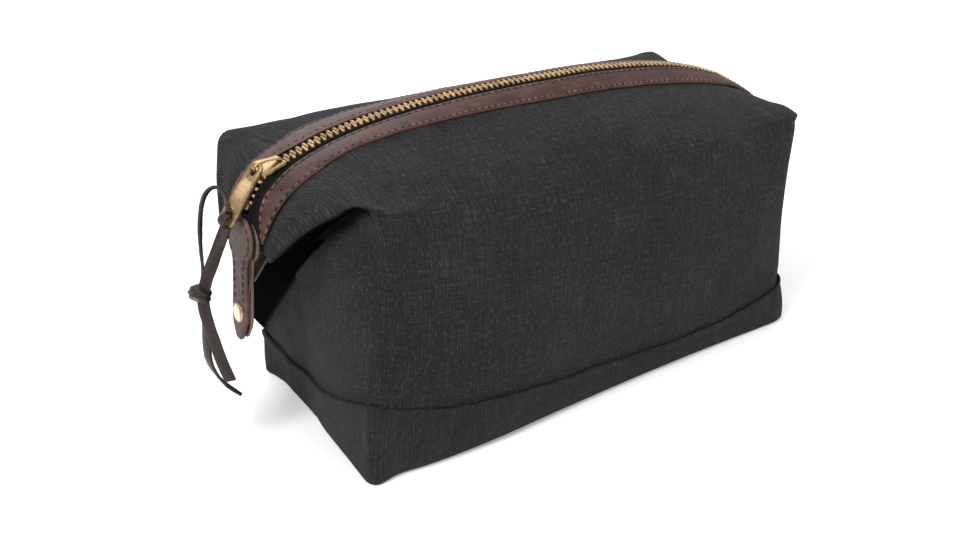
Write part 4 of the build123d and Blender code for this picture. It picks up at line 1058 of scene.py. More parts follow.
def tooth_mesh(origin, t, yv, nv, short=False):
    V = []
    pts = [(a_, (max(b_, -0.0) if short else b_)) for a_, b_ in TOOTH]
    for h, k in ((-1.35, 0.82), (-1.15, 1.0), (0.95, 1.0), (1.28, 0.88), (1.42, 0.6)):
        for a_, b_ in pts:
            bb = 1.5 + (b_ - 1.5) * (0.93 if k < 1 else 1.0)
            hh = h + (0.12 if b_ < 0.4 else 0.0) * (1 if h > 0 else 0)
            V.append(origin + t * a_ * k + yv * bb + nv * hh)
    m_ = len(pts)
    F = []
    for i in range(4):
        for j in range(m_):
            j2 = (j + 1) % m_
            F.append((i * m_ + j, i * m_ + j2, (i + 1) * m_ + j2, (i + 1) * m_ + j))
    F.append(tuple(range(m_ - 1, -1, -1)))
    F.append(tuple(4 * m_ + j for j in range(m_)))
    return V, F


def teeth():
    step = math.degrees(3.0 / 450.0)
    a_rest = math.degrees(math.asin((-134.0 + 6.0) / 450.0))
    a_end = math.degrees(math.asin((-143.0 + 6.0) / 450.0))
    for nm, s, phase in (("front", -1, 0.0), ("rear", 1, 0.5)):
        parts = {"left": [], "right": []}
        for k in range(-60, 61):
            a_ = (k + phase) * step
            if not (a_end + 0.1 < a_ < -a_end - 0.25):
                continue
            x = -6 + 450 * math.sin(math.radians(a_))
            z = -309 + 450 * math.cos(math.radians(a_)) + lift(x)
            d = (lift(x + 1) - lift(x - 1)) / 2
            ar = math.radians(a_)
            t = np.array([math.cos(ar), 0, -math.sin(ar) + d])
            t /= np.linalg.norm(t)
            nv = np.array([-t[2], 0, t[0]])
            part = "left" if x < 0 else "right"
            parted = a_ < a_rest - math.degrees(2.5 / 450)
            yv = np.array([0, s, 0.0])
            o = np.array([x, 0, z])
            if parted:
                o = o + yv * 0.9
            v, f = tooth_mesh(o, t, yv, nv, short=parted)
            if s < 0:
                f = [g[::-1] for g in f]
            parts[part].append((v, f))
        for sx, part in ((-1, "left"), (1, "right")):
            for i in range(4):
                tt = (0.9 + 3.0 * i + (0.0 if s < 0 else 1.5)) / 15.2
                if tt > 0.86:
                    continue
                x, z = -143.2 - 7.0 * tt ** 0.85, 119.0 - 13.3 * tt
                t = np.array([-7.3, 0, -13.3]); t /= np.linalg.norm(t)
                if sx > 0:
                    x, z = 131.6 + 4.6 * tt ** 0.85, 112.6 - 9.0 * tt
                    t = np.array([7.3, 0, -13.3]); t /= np.linalg.norm(t)
                nv = np.array([-t[2], 0, t[0]]) if sx > 0 else np.array([t[2], 0, -t[0]])
                yv = np.array([0, s, 0.0])
                v, f = tooth_mesh(np.array([x, 0, z]) + yv * (1.0 if sx < 0 else 0.0), t, yv, nv, short=True)
                flip = (s < 0) ^ (sx < 0)
                if flip:
                    f = [g[::-1] for g in f]
                parts[part].append((v, f))
        for part, pp in parts.items():
            ob = merge(f"{nm}_teeth_{part}_row", pp, [BRASS])
            MOVES.append((ob, nm, "strip", part))


trims()
tapes()
teeth()


# ------------------------------------------------------------------ transforms baked, and the CAD pieces these parts replace hidden
REPL = {"front_canvas_left": ["front_panel", "front_lip", "left_end_top", "left_end_fold"], "rear_canvas_left": ["rear_panel", "rear_lip"],
        "front_canvas_right": ["right_end_top", "right_end_fold"],
        "front_lip_lining_left": ["front_lip_lining"], "rear_lip_lining_left": ["rear_lip_lining"],
        "front_trim_leather_left": ["front_trim_left", "front_trim_middle"], "front_trim_leather_right": ["front_trim_right"],
        "rear_trim_leather_left": ["rear_trim_left", "rear_trim_middle"], "rear_trim_leather_right": ["rear_trim_right"],
        "front_zip_tape_left": ["zip_tape_front_left", "zip_tape_front_middle"], "front_zip_tape_right": ["zip_tape_front_right"],
        "rear_zip_tape_left": ["zip_tape_rear_left", "zip_tape_rear_middle"], "rear_zip_tape_right": ["zip_tape_rear_right"],
        "front_teeth_left_row": ["teeth_front_left", "teeth_front_middle"], "front_teeth_right_row": ["teeth_front_right"],
        "rear_teeth_left_row": ["teeth_rear_left", "teeth_rear_middle"], "rear_teeth_right_row": ["teeth_rear_right"]}


def bend_all():
    for ob, nm, kind, part in MOVES:
        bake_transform(ob)
        if ob.name in REPL:
            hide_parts(*REPL[ob.name])


bend_all()


# ------------------------------------------------------------------ hard pieces: slider, pull, stops, rivets
def crease(ob, deg=38.0):
    """Smooth shading, with edges sharper than this kept crisp."""
    import bmesh
    bm = bmesh.new()
    bm.from_mesh(ob.data)
    bmesh.ops.remove_doubles(bm, verts=bm.verts, dist=1e-7)
    bmesh.ops.recalc_face_normals(bm, faces=bm.faces)
    for f in bm.faces:
        f.smooth = True
    for e_ in bm.edges:
        if len(e_.link_faces) == 2:
            e_.smooth = e_.calc_face_angle(0.0) < math.radians(deg)
    bm.to_mesh(ob.data)
    bm.free()
    return ob


def loft_rings(name, rings, mats, attrs=None, deg=38.0):
    """Closed loft through rings of equal count, capped at both ends."""
    k = len(rings[0])
    V = [p for r_ in rings for p in r_]
    F = []
    for i in range(len(rings) - 1):
        for j in range(k):
            j2 = (j + 1) % k
            F.append((i * k + j, i * k + j2, (i + 1) * k + j2, (i + 1) * k + j))
    F.append(tuple(range(k - 1, -1, -1)))
    F.append(tuple((len(rings) - 1) * k + j for j in range(k)))
    ob = mesh_obj(name, V, F, mats, attrs=attrs)
    return crease(ob, deg)


S_A = math.asin((-134.0 + 6.0) / 450.0)
S_T = np.array([math.cos(S_A), 0, -math.sin(S_A)])
S_N = np.array([math.sin(S_A), 0, math.cos(S_A)])
S_O = np.array([-134.0, 0, -309.0 + 450.0 * math.cos(S_A)])


def sp(s, y, n):
    return S_O + S_T * s + np.array([0, y, 0]) + S_N * n


def slider_width(s):
    return float(np.interp(s, [-9.5, -9.0, -8.0, -6.5, -4.0, -1.0, 1.2, 2.4], [3.0, 3.7, 4.35, 4.65, 4.6, 4.3, 4.15, 4.0]))


def slider():
    obs = []
    top, low = [], []
    ss = [-9.3, -9.1, -8.7, -8.0, -7.0, -5.5, -4.0, -2.0, 0.0, 1.2, 1.9, 2.2, 2.4]
    for q, s in enumerate(ss):
        w = slider_width(s)
        e_ = 0.18 if s in (-9.3, 2.4) else 0.0
        prof = [(-w + e_, 0.78 + e_), (-w + e_, 1.95), (-w + 0.16 + e_, 2.3 - e_), (-w + 0.42, 2.42 - e_), (-w + 0.78, 2.36 - e_), (-w + 1.05, 2.08 - e_), (-w + 1.6, 2.02 - e_),
                (0, 2.04 - e_), (w - 1.6, 2.02 - e_), (w - 1.05, 2.08 - e_), (w - 0.78, 2.36 - e_), (w - 0.42, 2.42 - e_), (w - 0.16 - e_, 2.3 - e_), (w - e_, 1.95), (w - e_, 0.78 + e_),
                (w - 0.85, 0.78 + e_), (w - 0.95, 1.58), (0, 1.6), (-w + 0.95, 1.58), (-w + 0.85, 0.78 + e_)]
        top.append([sp(s, y, n) for y, n in prof])
        prof = [(-w + e_, -1.0 - e_), (-w + e_, -2.1), (-w + 0.3 + e_, -2.5 + e_), (-w + 0.9, -2.55 + e_), (w - 0.9, -2.55 + e_), (w - 0.3 - e_, -2.5 + e_), (w - e_, -2.1), (w - e_, -1.0 - e_),
                (w - 0.85, -1.0 - e_), (w - 0.95, -1.68), (-w + 0.95, -1.68), (-w + 0.85, -1.0 - e_)]
        low.append([sp(s - 0.2, y, n) for y, n in prof])
    a_ = loft_rings("slider_top_plate", top, [BRASS_S])
    b_ = loft_rings("slider_low_plate", low, [BRASS_S])
    # divider between the two rows of teeth
    ring = [(-9.0, 0), (-8.2, 0.55), (-6.9, 0.95), (-5.6, 0.8), (-4.6, 0.3), (-4.3, 0), (-4.6, -0.3), (-5.6, -0.8), (-6.9, -0.95), (-8.2, -0.55)]
    c_ = loft_rings("slider_divider", [[sp(s, y, n) for s, y in ring] for n in (-1.75, 1.7)], [BRASS_S])
    # bridge: broad foot at the back, rising to a round knob that hooks over the pull's bar
    path = [(1.45, 2.0, 2.1, 1.0), (1.5, 2.7, 2.1, 1.0), (1.1, 3.25, 2.05, 0.95), (-0.4, 3.75, 1.85, 0.85), (-3.0, 4.5, 1.6, 0.8), (-6.0, 5.25, 1.55, 0.85), (-8.3, 5.55, 1.65, 0.95), (-9.7, 5.2, 1.7, 1.05), (-10.4, 4.3, 1.6, 1.05), (-10.35, 3.2, 1.35, 0.9), (-10.1, 2.1, 1.3, 0.85)]
    Pp = hermite(np.array(path, float), 5)
    T = np.gradient(Pp[:, :2], axis=0)
    T /= np.linalg.norm(T, axis=1, keepdims=True)
    rings = []
    for (s, n, w, h), (ts, tn) in zip(Pp, T):
        up = np.array([tn, -ts])          # outward of the arch, in s and n
        ring = []
        for u, v in ((-1, -0.3), (-0.98, 0.05), (-0.86, 0.32), (-0.6, 0.46), (-0.25, 0.5), (0.25, 0.5), (0.6, 0.46), (0.86, 0.32), (0.98, 0.05), (1, -0.3), (0.9, -0.5), (-0.9, -0.5)):
            q = np.array([s, n]) + up * v * h
            ring.append(sp(q[0], u * w, q[1]))
        rings.append(ring)
    d_ = loft_rings("slider_bridge_arch", rings, [BRASS_S], deg=50)
    for ob in (a_, b_, c_, d_):
        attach(ob, "slider")
    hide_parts("slider_body")
    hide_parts("slider_bridge")
    return a_, b_, c_, d_


HINGE = np.array([-143.084, 0, 124.202])
DP, CANT = math.radians(56.0), math.radians(4.0)
P_U = np.array([-math.cos(DP) * math.cos(CANT), math.sin(CANT), -math.sin(DP) * math.cos(CANT)])
P_W = np.array([-math.sin(DP), 0, math.cos(DP)])          # out of the pull, away from the bag
P_V = np.cross(P_W, P_U)                                   # across
if P_V[1] < 0:
    P_V = -P_V


def pp(u, v, w):
    return HINGE + P_U * u + P_V * v + P_W * w


def flat_plate(name, outline, holes, thick, bevel, place, mats, deg=38.0, res=2):
    """Plate with holes from flat outlines, its edges rounded; place maps (u, v, w) in mm to the row frame."""
    cu = bpy.data.curves.new(name + "_c", "CURVE")
    cu.dimensions = "2D"
    cu.fill_mode = "BOTH"
    cu.extrude = thick / 2 - bevel
    cu.bevel_depth = bevel
    cu.bevel_resolution = res
    cu.offset = -bevel
    for loop in [outline] + list(holes):
        s_ = cu.splines.new("POLY")
        s_.points.add(len(loop) - 1)
        for p, (u, v) in zip(s_.points, loop):
            p.co = (u, v, 0, 1)
        s_.use_cyclic_u = True
    tmp = bpy.data.objects.new(name + "_t", cu)
    bpy.context.scene.collection.objects.link(tmp)
    dg = bpy.context.evaluated_depsgraph_get()
    me = bpy.data.meshes.new_from_object(tmp.evaluated_get(dg))
    V = [place(*v.co) for v in me.vertices]
    F = [tuple(p.vertices) for p in me.polygons]
    bpy.data.objects.remove(tmp, do_unlink=True)
    bpy.data.curves.remove(cu)
    bpy.data.meshes.remove(me)
    return crease(mesh_obj(name, V, F, mats), deg)


def arc_pts(cx, cy, r_, a0, a1, n, ry=None):
    ry = r_ if ry is None else ry
    return [(cx + r_ * math.cos(math.radians(a0 + (a1 - a0) * i / (n - 1))), cy + ry * math.sin(math.radians(a0 + (a1 - a0) * i / (n - 1)))) for i in range(n)]


def spline_loop(P, n=6):
    P = np.array(P, float)
    Q = hermite(np.concatenate([P[-2:], P, P[:2]]), n)[2 * n: 2 * n + len(P) * n]
    return [tuple(p) for p in Q]


def pull():
    # outline: round head, sides that spread towards two blunt prongs
    left = [(0.2, 4.0), (2.0, 4.25), (6.0, 4.35), (9.0, 4.7), (14.0, 4.98), (20.0, 5.3), (24.6, 5.55), (25.9, 5.45), (26.55, 4.9), (26.6, 4.2), (26.1, 3.6)]
    outline = arc_pts(0.6, 0, 1.7, 270, 90, 9, 3.75)
    outline = [(u, -v) for u, v in outline][::1]
    outline = [(-0.9, -2.6), (-1.25, -1.4), (-1.35, 0.0), (-1.25, 1.4), (-0.9, 2.6), (-0.3, 3.5)] + left + [(25.8, 3.15), (26.1, -3.6)][:1]
    right = [(u, -v) for u, v in left][::-1]
    outline = outline + [(25.8, -3.15)] + right + [(-0.3, -3.5)]
    ring_hole = arc_pts(2.3, 0, 2.55, 0, 360, 29)[:-1]
    ring_hole = [(u, v * 0.98) for u, v in ring_hole]
    eye = [(24.1, -3.05), (24.1, 3.05), (23.2, 3.35), (22.3, 3.2), (21.5, 2.4), (21.0, 1.3), (20.8, 0), (21.0, -1.3), (21.5, -2.4), (22.3, -3.2), (23.2, -3.35)]
    panel = [(6.3, 2.9), (7.0, 3.2), (9.0, 3.75), (14.0, 4.05), (19.8, 4.35), (20.8, 4.1), (20.35, 2.9), (19.8, 1.6), (19.6, 0.0), (19.8, -1.6), (20.35, -2.9), (20.8, -4.1), (19.8, -4.35), (14.0, -4.05), (9.0, -3.75), (7.0, -3.2), (6.3, -2.9), (6.75, -1.5), (6.9, 0.0), (6.75, 1.5)]
    rim = flat_plate("pull_border", outline, [ring_hole, eye, panel], 1.55, 0.22, pp, [BRASS_S])
    core = flat_plate("pull_panel", [(u, v * 0.985) for u, v in outline if u > 4.9] + [(4.9, -4.1), (4.9, 4.1)], [eye], 0.9, 0.1, pp, [BRASS_PULL])
    # cross bar at the top, round the bridge's hook
    rings = []
    for y in (-3.6, -3.4, -1.9, 1.9, 3.4, 3.6):
        r_ = 0.5 if abs(y) > 3.5 else 0.62
        rings.append([HINGE + np.array([r_ * math.cos(q * math.pi / 6), y, r_ * math.sin(q * math.pi / 6)]) for q in range(12)])
    bar = loft_rings("pull_cross_bar", rings, [BRASS_S])
    for ob in (rim, core, bar):
        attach(ob, "pull")
    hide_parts("pull_tab")


def frame_box(name, c, u, v, w, lu, lv, lw, bevel, mat):
    """Bevelled bar about centre c with unit axes u, v, w."""
    rings = []
    for s, k in ((-0.5, 1), (-0.5 + bevel / lu, 0), (0.5 - bevel / lu, 0), (0.5, 1)):
        a_, b_ = lv / 2 - bevel * k, lw / 2 - bevel * k
        e_ = bevel
        pts = [(-a_, -b_ + e_), (-a_, b_ - e_), (-a_ + e_, b_), (a_ - e_, b_), (a_, b_ - e_), (a_, -b_ + e_), (a_ - e_, -b_), (-a_ + e_, -b_)]
        rings.append([c + u * s * lu + v * p + w * q for p, q in pts])
    return loft_rings(name, rings, [mat])


def stops():
    Y = np.array([0, 1.0, 0])
    for nm, s in (("front", -1), ("rear", 1)):
        an = math.radians(61.2)
        u = np.array([math.cos(an), 0, math.sin(an)])
        w = np.array([-math.sin(an), 0, math.cos(an)])
        ob = frame_box(f"top_stop_clip_{nm}", np.array([-149.9, s * 2.3, 108.9]), u, Y, w, 2.7, 2.6, 1.55, 0.4, BRASS)
        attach(ob, "bag"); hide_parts(f"top_stop_{nm}")
    u = np.array([-math.cos(an), 0, math.sin(an)])
    w = np.array([math.sin(an), 0, math.cos(an)])
    ob = frame_box("bottom_stop_bar", np.array([135.9, 0, 105.0]), u, Y, w, 2.7, 7.0, 1.55, 0.4, BRASS)
    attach(ob, "bag"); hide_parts("bottom_stop")


# ------------------------------------------------------------------ leather end tabs
TILT = math.radians(3.3)


def tp(sx, v, y, w):
    """Point on a tab: v down from its top, y across, w in from the outer face. sx is -1 at the left end."""
    x = -152.8 - v * math.sin(TILT) + w * math.cos(TILT)
    z = 105.0 - v * math.cos(TILT) - w * math.sin(TILT)
    return np.array([x if sx < 0 else -12.0 - x, y, z])


def tab_half(v, r_, w, length):
    disc = math.sqrt(max(r_ * r_ - (r_ - v) ** 2, 0.0)) if v < 2 * r_ else 0.0
    neck = float(np.interp(v, [r_, r_ + 5, r_ + 9, r_ + 13, length - 12.5, length - 9.0, length - 6.0, length - 3.2, length - 1.2, length - 0.3, length], [r_, w + 2.2, w + 0.35, w - 0.35, w - 0.05, w - 0.2, w * 0.84, w * 0.58, w * 0.36, w * 0.22, w * 0.1]))
    return disc if v < r_ else max(min(neck, r_), disc if v < r_ + 6.5 else 0)


def tab_ply(name, sx, r_, w, v0, length, w0, thick, dome, mat, seed, stitched):
    """One ply as a keyhole, crowned and a little uneven, with its edges rounded."""
    vs = [v0 + r_ * (1 - math.cos(q)) for q in np.linspace(0.12, math.pi / 2, 12)]
    vs += list(np.linspace(v0 + r_ + 0.9, length - 3.2, 40)) + [length - 2.2, length - 1.2, length - 0.5, length - 0.1, length]
    prof = [(-1.0, 0.55), (-0.995, 0.25), (-0.965, 0.06), (-0.90, 0.0), (-0.8, 0.0), (-0.62, 0.0), (-0.35, 0), (0, 0), (0.35, 0), (0.62, 0), (0.8, 0), (0.90, 0.0), (0.965, 0.06), (0.995, 0.25), (1.0, 0.55),
            (0.985, 0.9), (0.93, 1.0), (0.4, 1.0), (-0.4, 1.0), (-0.93, 1.0), (-0.985, 0.9)]
    rimf = [1, 0.9, 0.35, 0, 0, 0, 0, 0, 0, 0, 0, 0, 0.35, 0.9, 1, 1, 0.6, 0, 0, 0.6, 1]
    V, R, C = [], [], []
    for v in vs:
        h = tab_half(v - v0, r_, w, length - v0)
        edge = min(1.0, (v - v0) / 1.6, (length - v) / 0.8 + 0.02)
        for (k, t), rf in zip(prof, rimf):
            y = k * h + 0.10 * clay(0, v * 1.0, seed, 0.12, 61) * k
            top = 1.0 - max(0.0, edge)
            inw = t * thick + (0.45 * thick * top if t < 0.5 else -0.1 * thick * top)
            bulge = dome * (1 - k * k) * min(1.0, (v - v0) / 6.0) * (0.55 + 0.45 * math.cos((v - 10) / 9.0)) if v < 38 else 0.25 * dome * (1 - k * k)
            bulge += 0.14 * clay(y, v, seed, 0.13, 62)
            V.append(tp(sx, v, y, w0 + inw - bulge * (1.0 if t < 0.6 else 0.25)))
            R.append(max(rf, 0.9 if (v == vs[0] or v == vs[-1]) else 0))
            C.append((v * MM, y * MM, 0))
    n, k = len(vs), len(prof)
    F = []
    for i in range(n - 1):
        for j in range(k):
            j2 = (j + 1) % k
            F.append((i * k + j, i * k + j2, (i + 1) * k + j2, (i + 1) * k + j))
    F.append(tuple(range(k - 1, -1, -1)))
    F.append(tuple((n - 1) * k + j for j in range(k)))
    ob = mesh_obj(name, V, F, [mat], attrs={"rim": np.array(R), "cloth": np.array(C)})
    import bmesh
    bm = bmesh.new(); bm.from_mesh(ob.data); bmesh.ops.recalc_face_normals(bm, faces=bm.faces); bm.to_mesh(ob.data); bm.free()
    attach(ob, "bag")
    return ob


def lathe(name, sx, v, prof, mats, seg=28, w0=0.0, mat_rows=None):
    """Round piece standing out of a tab: prof is (radius, height out of the outer face)."""
    V, F, M = [], [], []
    for r_, h in prof:
        for q in range(seg):
            an = 2 * math.pi * q / seg
            V.append(tp(sx, v + r_ * math.sin(an), r_ * math.cos(an), w0 - h))
    for i in range(len(prof) - 1):
        for q in range(seg):
            q2 = (q + 1) % seg
            F.append((i * seg + q, i * seg + q2, (i + 1) * seg + q2, (i + 1) * seg + q))
            M.append(mat_rows[i] if mat_rows else 0)
    F.append(tuple(range(seg))); M.append(mat_rows[0] if mat_rows else 0)
    F.append(tuple((len(prof) - 1) * seg + q for q in range(seg))); M.append(0)
    ob = mesh_obj(name, V, F, mats, mat_index=M)
    return crease(ob, 45)


def tabs():
    for nm, sx in (("left", -1), ("right", 1)):
        a_ = tab_ply(f"{nm}_tab_outer_leather", sx, 9.9, 5.5, 0.1, 54.9, 0.0, 1.75, 0.55, TABL, 3.0 * sx, True)
        b_ = tab_ply(f"{nm}_tab_inner_leather", sx, 10.6, 5.8, 0.0, 54.2, 2.65, 1.5, 0.0, TABR, 5.0 * sx, False)
        c_ = tab_ply(f"{nm}_tab_filler_leather", sx, 8.4, 5.0, 12.6, 52.6, 1.9, 0.62, 0.0, TABR, 7.0 * sx, False)
        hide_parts(f"{nm}_tab_front"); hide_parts(f"{nm}_tab_rear"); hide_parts(f"{nm}_tab_filler")
        # stitches along the rim of the disc and down the strap
        parts = []
        pts = []
        for v in np.linspace(0.9, 39.0, 400):
            h = tab_half(v, 9.9, 5.5, 54.9)
            pts.append((v, h))
        pts = np.array(pts)
        d = np.gradient(pts, axis=0)
        nrm = np.stack([d[:, 1], -d[:, 0]], -1)
        nrm /= np.linalg.norm(nrm, axis=1, keepdims=True)
        inn = pts + nrm * 1.7
        inn = inn[inn[:, 0] > 1.9]
        t = np.concatenate([[0], np.cumsum(np.linalg.norm(np.diff(inn, axis=0), axis=1))])
        for side in (-1, 1):
            s = 0.6
            while s < t[-1] - 0.5:
                v, h = (np.interp(s, t, inn[:, q]) for q in range(2))
                v2, h2 = (np.interp(s + 0.4, t, inn[:, q]) for q in range(2))
                p, p2 = tp(sx, v, side * h, -0.16), tp(sx, v2, side * h2, -0.16)
                dd = p2 - p
                dd /= np.linalg.norm(dd)
                no = np.array([-sx * -1.0 * math.cos(TILT), 0, 0]) if False else (tp(sx, v, 0, -1) - tp(sx, v, 0, 0))
                k = (1 - (h / max(tab_half(v, 9.9, 5.5, 54.9), 1)) ** 2)
                parts.append(capsule(p + no * 0.30 * k, dd, no, 2.3, 0.7, 0.4))
                s += 3.4
        st = merge(f"{nm}_tab_stitches", parts, [THREAD_T])
        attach(st, "bag")
        # rivet: pale domed cap with a turned edge, post and back
        prof = [(0.01, 1.12), (1.3, 1.10), (2.5, 0.98), (3.2, 0.80), (3.55, 0.62), (3.7, 0.50), (3.85, 0.55), (4.1, 0.58), (4.32, 0.46), (4.4, 0.22), (4.35, -0.05), (3.6, -0.05)]
        cap = lathe(f"{nm}_rivet_cap", sx, 42.5, prof, [CREAM, BRASS_S], mat_rows=[0, 0, 0, 0, 0, 1, 1, 1, 1, 1, 1])
        post = lathe(f"{nm}_rivet_post", sx, 42.5, [(1.5, 0.0), (1.5, -4.2), (3.4, -4.25), (3.6, -4.5), (3.5, -4.95), (3.0, -5.1)], [BRASS_S])
        for ob in (cap, post):
            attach(ob, "bag")
        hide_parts(f"{nm}_rivet")
        # strap from the rivet's back up to the end seam
        xr, xt = (-127.9, -149.6) if sx < 0 else (127.9, 137.6)
        xm = xr + 0.45 * (xt - xr)
        zr, zm = (101.4, 93.4) if sx < 0 else (86.4, 83.0)
        mid = hermite(np.array([(xr - 0.8 * (1 if sx < 0 else -1), 4.0, zr - 0.9), (xm, 4.4, zm - 0.6), ((xm + xt) / 2 - sx * 0.6, 4.6, (zm + 77.0) / 2 + 0.2), (xt, 4.8, 77.0)], float), 8)
        A, B = mid.copy(), mid.copy()
        A[:, 1] *= -1
        prof = [(0.0, -0.3), (0.0, 0.3), (0.04, 0.55), (0.5, 0.68), (0.96, 0.55), (1.0, 0.3), (1.0, -0.3), (0.96, -0.6), (0.5, -0.62), (0.04, -0.6)]
        ob, _, _ = strip_mesh(f"{nm}_anchor_strap_leather", A, B, prof, [1, 1, 0.3, 0, 0.3, 1, 1, 0.5, 0, 0.5], TABR, up_sign=(1 if sx < 0 else -1))
        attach(ob, "bag"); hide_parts(f"{nm}_anchor_strap")


# ------------------------------------------------------------------ lace through the pull's eye
BXZ = np.array([-157.288, 1.781, 103.144])
LACE_F = [(BXZ[0] - 1.1, BXZ[1] - 1.1, BXZ[2] - 2.1), (-161.8, -0.3, 95.4), (-166.0, -1.0, 87.6), (-169.8, -1.2, 80.2), (-171.6, -1.3, 72.0), (-170.0, -1.8, 62.6), (-167.6, -2.2, 52.8), (-165.2, -2.3, 42.8), (-162.0, -2.4, 34.0)]
LACE_R = [(BXZ[0] + 0.6, BXZ[1] + 1.4, BXZ[2] + 2.3), (-155.0, 5.0, 107.6), (-153.9, 8.8, 112.2), (-157.0, 10.4, 115.4), (-162.4, 9.0, 113.8), (-165.6, 7.0, 108.6), (-167.4, 5.2, 101.0), (-168.2, 4.0, 92.6), (-168.4, 3.0, 84.0), (-169.2, 2.6, 77.2), (-169.4, 2.2, 69.2), (-168.4, 2.4, 60.6), (-169.2, 2.6, 51.6), (-169.0, 2.6, 43.0), (-165.6, 2.4, 35.0), (-160.6, 2.0, 28.2), (-155.6, 1.6, 23.4)]


def route(points):
    """Points along the smooth line of a route, in metres."""
    cu = bpy.data.curves.new("route", "CURVE")
    cu.dimensions = "3D"
    cu.resolution_u = 12
    s_ = cu.splines.new("NURBS")
    s_.points.add(len(points) - 1)
    for p, q in zip(s_.points, points):
        p.co = (q[0] * MM, q[1] * MM, q[2] * MM, 1)
    s_.order_u = 3
    s_.use_endpoint_u = True
    tmp = bpy.data.objects.new("route", cu)
    bpy.context.scene.collection.objects.link(tmp)
    dg = bpy.context.evaluated_depsgraph_get()
    me = bpy.data.meshes.new_from_object(tmp.evaluated_get(dg))
    P = np.array([v.co[:] for v in me.vertices])
    bpy.data.objects.remove(tmp, do_unlink=True)
    bpy.data.curves.remove(cu)
    bpy.data.meshes.remove(me)
    return P


LACE_SECTION = [(-1.0, -0.5), (-1.0, 0.35), (-0.92, 0.75), (-0.55, 0.95), (0.0, 1.0), (0.55, 0.95), (0.92, 0.75), (1.0, 0.35), (1.0, -0.5), (0.9, -0.85), (0.0, -0.95), (-0.9, -0.85)]
LACE_RIM = [1, 1, 0.5, 0, 0, 0, 0.5, 1, 1, 0.8, 0.3, 0.8]


def flat_lace(name, points, width_dirs, half_w, half_t, point_tip, seed):
    """Flat lace along a route; its width turns through the given directions (share of length, direction)."""
    path = route(points)
    P = path / MM
    t = np.concatenate([[0], np.cumsum(np.linalg.norm(np.diff(P, axis=0), axis=1))])
    L = t[-1]
    T = np.gradient(P, axis=0)
    T /= np.linalg.norm(T, axis=1, keepdims=True)
    ks = [w[0] for w in width_dirs]
    ds = np.array([w[1] for w in width_dirs], float)
    hw = [w[2] if len(w) > 2 else 1.0 for w in width_dirs]
    V, R, C = [], [], []
    for i in range(len(P)):
        f = t[i] / L
        w = np.array([np.interp(f, ks, ds[:, q]) for q in range(3)])
        w -= T[i] * (w @ T[i])
        w /= np.linalg.norm(w)
        n = np.cross(T[i], w)
        a_ = half_w * float(np.interp(f, ks, hw)) * (1 + 0.05 * clay(t[i], 0, 0, 0.15, seed))
        b_ = half_t * (1 + 0.08 * clay(t[i], 3, 0, 0.2, seed))
        left = L - t[i]
        if point_tip and left < 9.0:
            a_ *= 0.3 + 0.7 * (left / 9.0)
        for (u, v), rf in zip(LACE_SECTION, LACE_RIM):
            V.append(P[i] + w * u * a_ + n * v * b_ + n * 0.10 * clay(t[i], u, 0, 0.5, seed + 1))
            R.append(rf)
            C.append((t[i] * MM, u * a_ * MM, 0))
    k = len(LACE_SECTION)
    F = []
    for i in range(len(P) - 1):
        for j in range(k):
            j2 = (j + 1) % k
            F.append((i * k + j, i * k + j2, (i + 1) * k + j2, (i + 1) * k + j))
    F.append(tuple(range(k - 1, -1, -1)))
    F.append(tuple((len(P) - 1) * k + j for j in range(k)))
    ob = mesh_obj(name, V, F, [LACEL], attrs={"rim": np.array(R), "cloth": np.array(C)})
    import bmesh
    bm = bmesh.new(); bm.from_mesh(ob.data); bmesh.ops.recalc_face_normals(bm, faces=bm.faces); bm.to_mesh(ob.data); bm.free()
    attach(ob, "lace")
    return ob, path, L


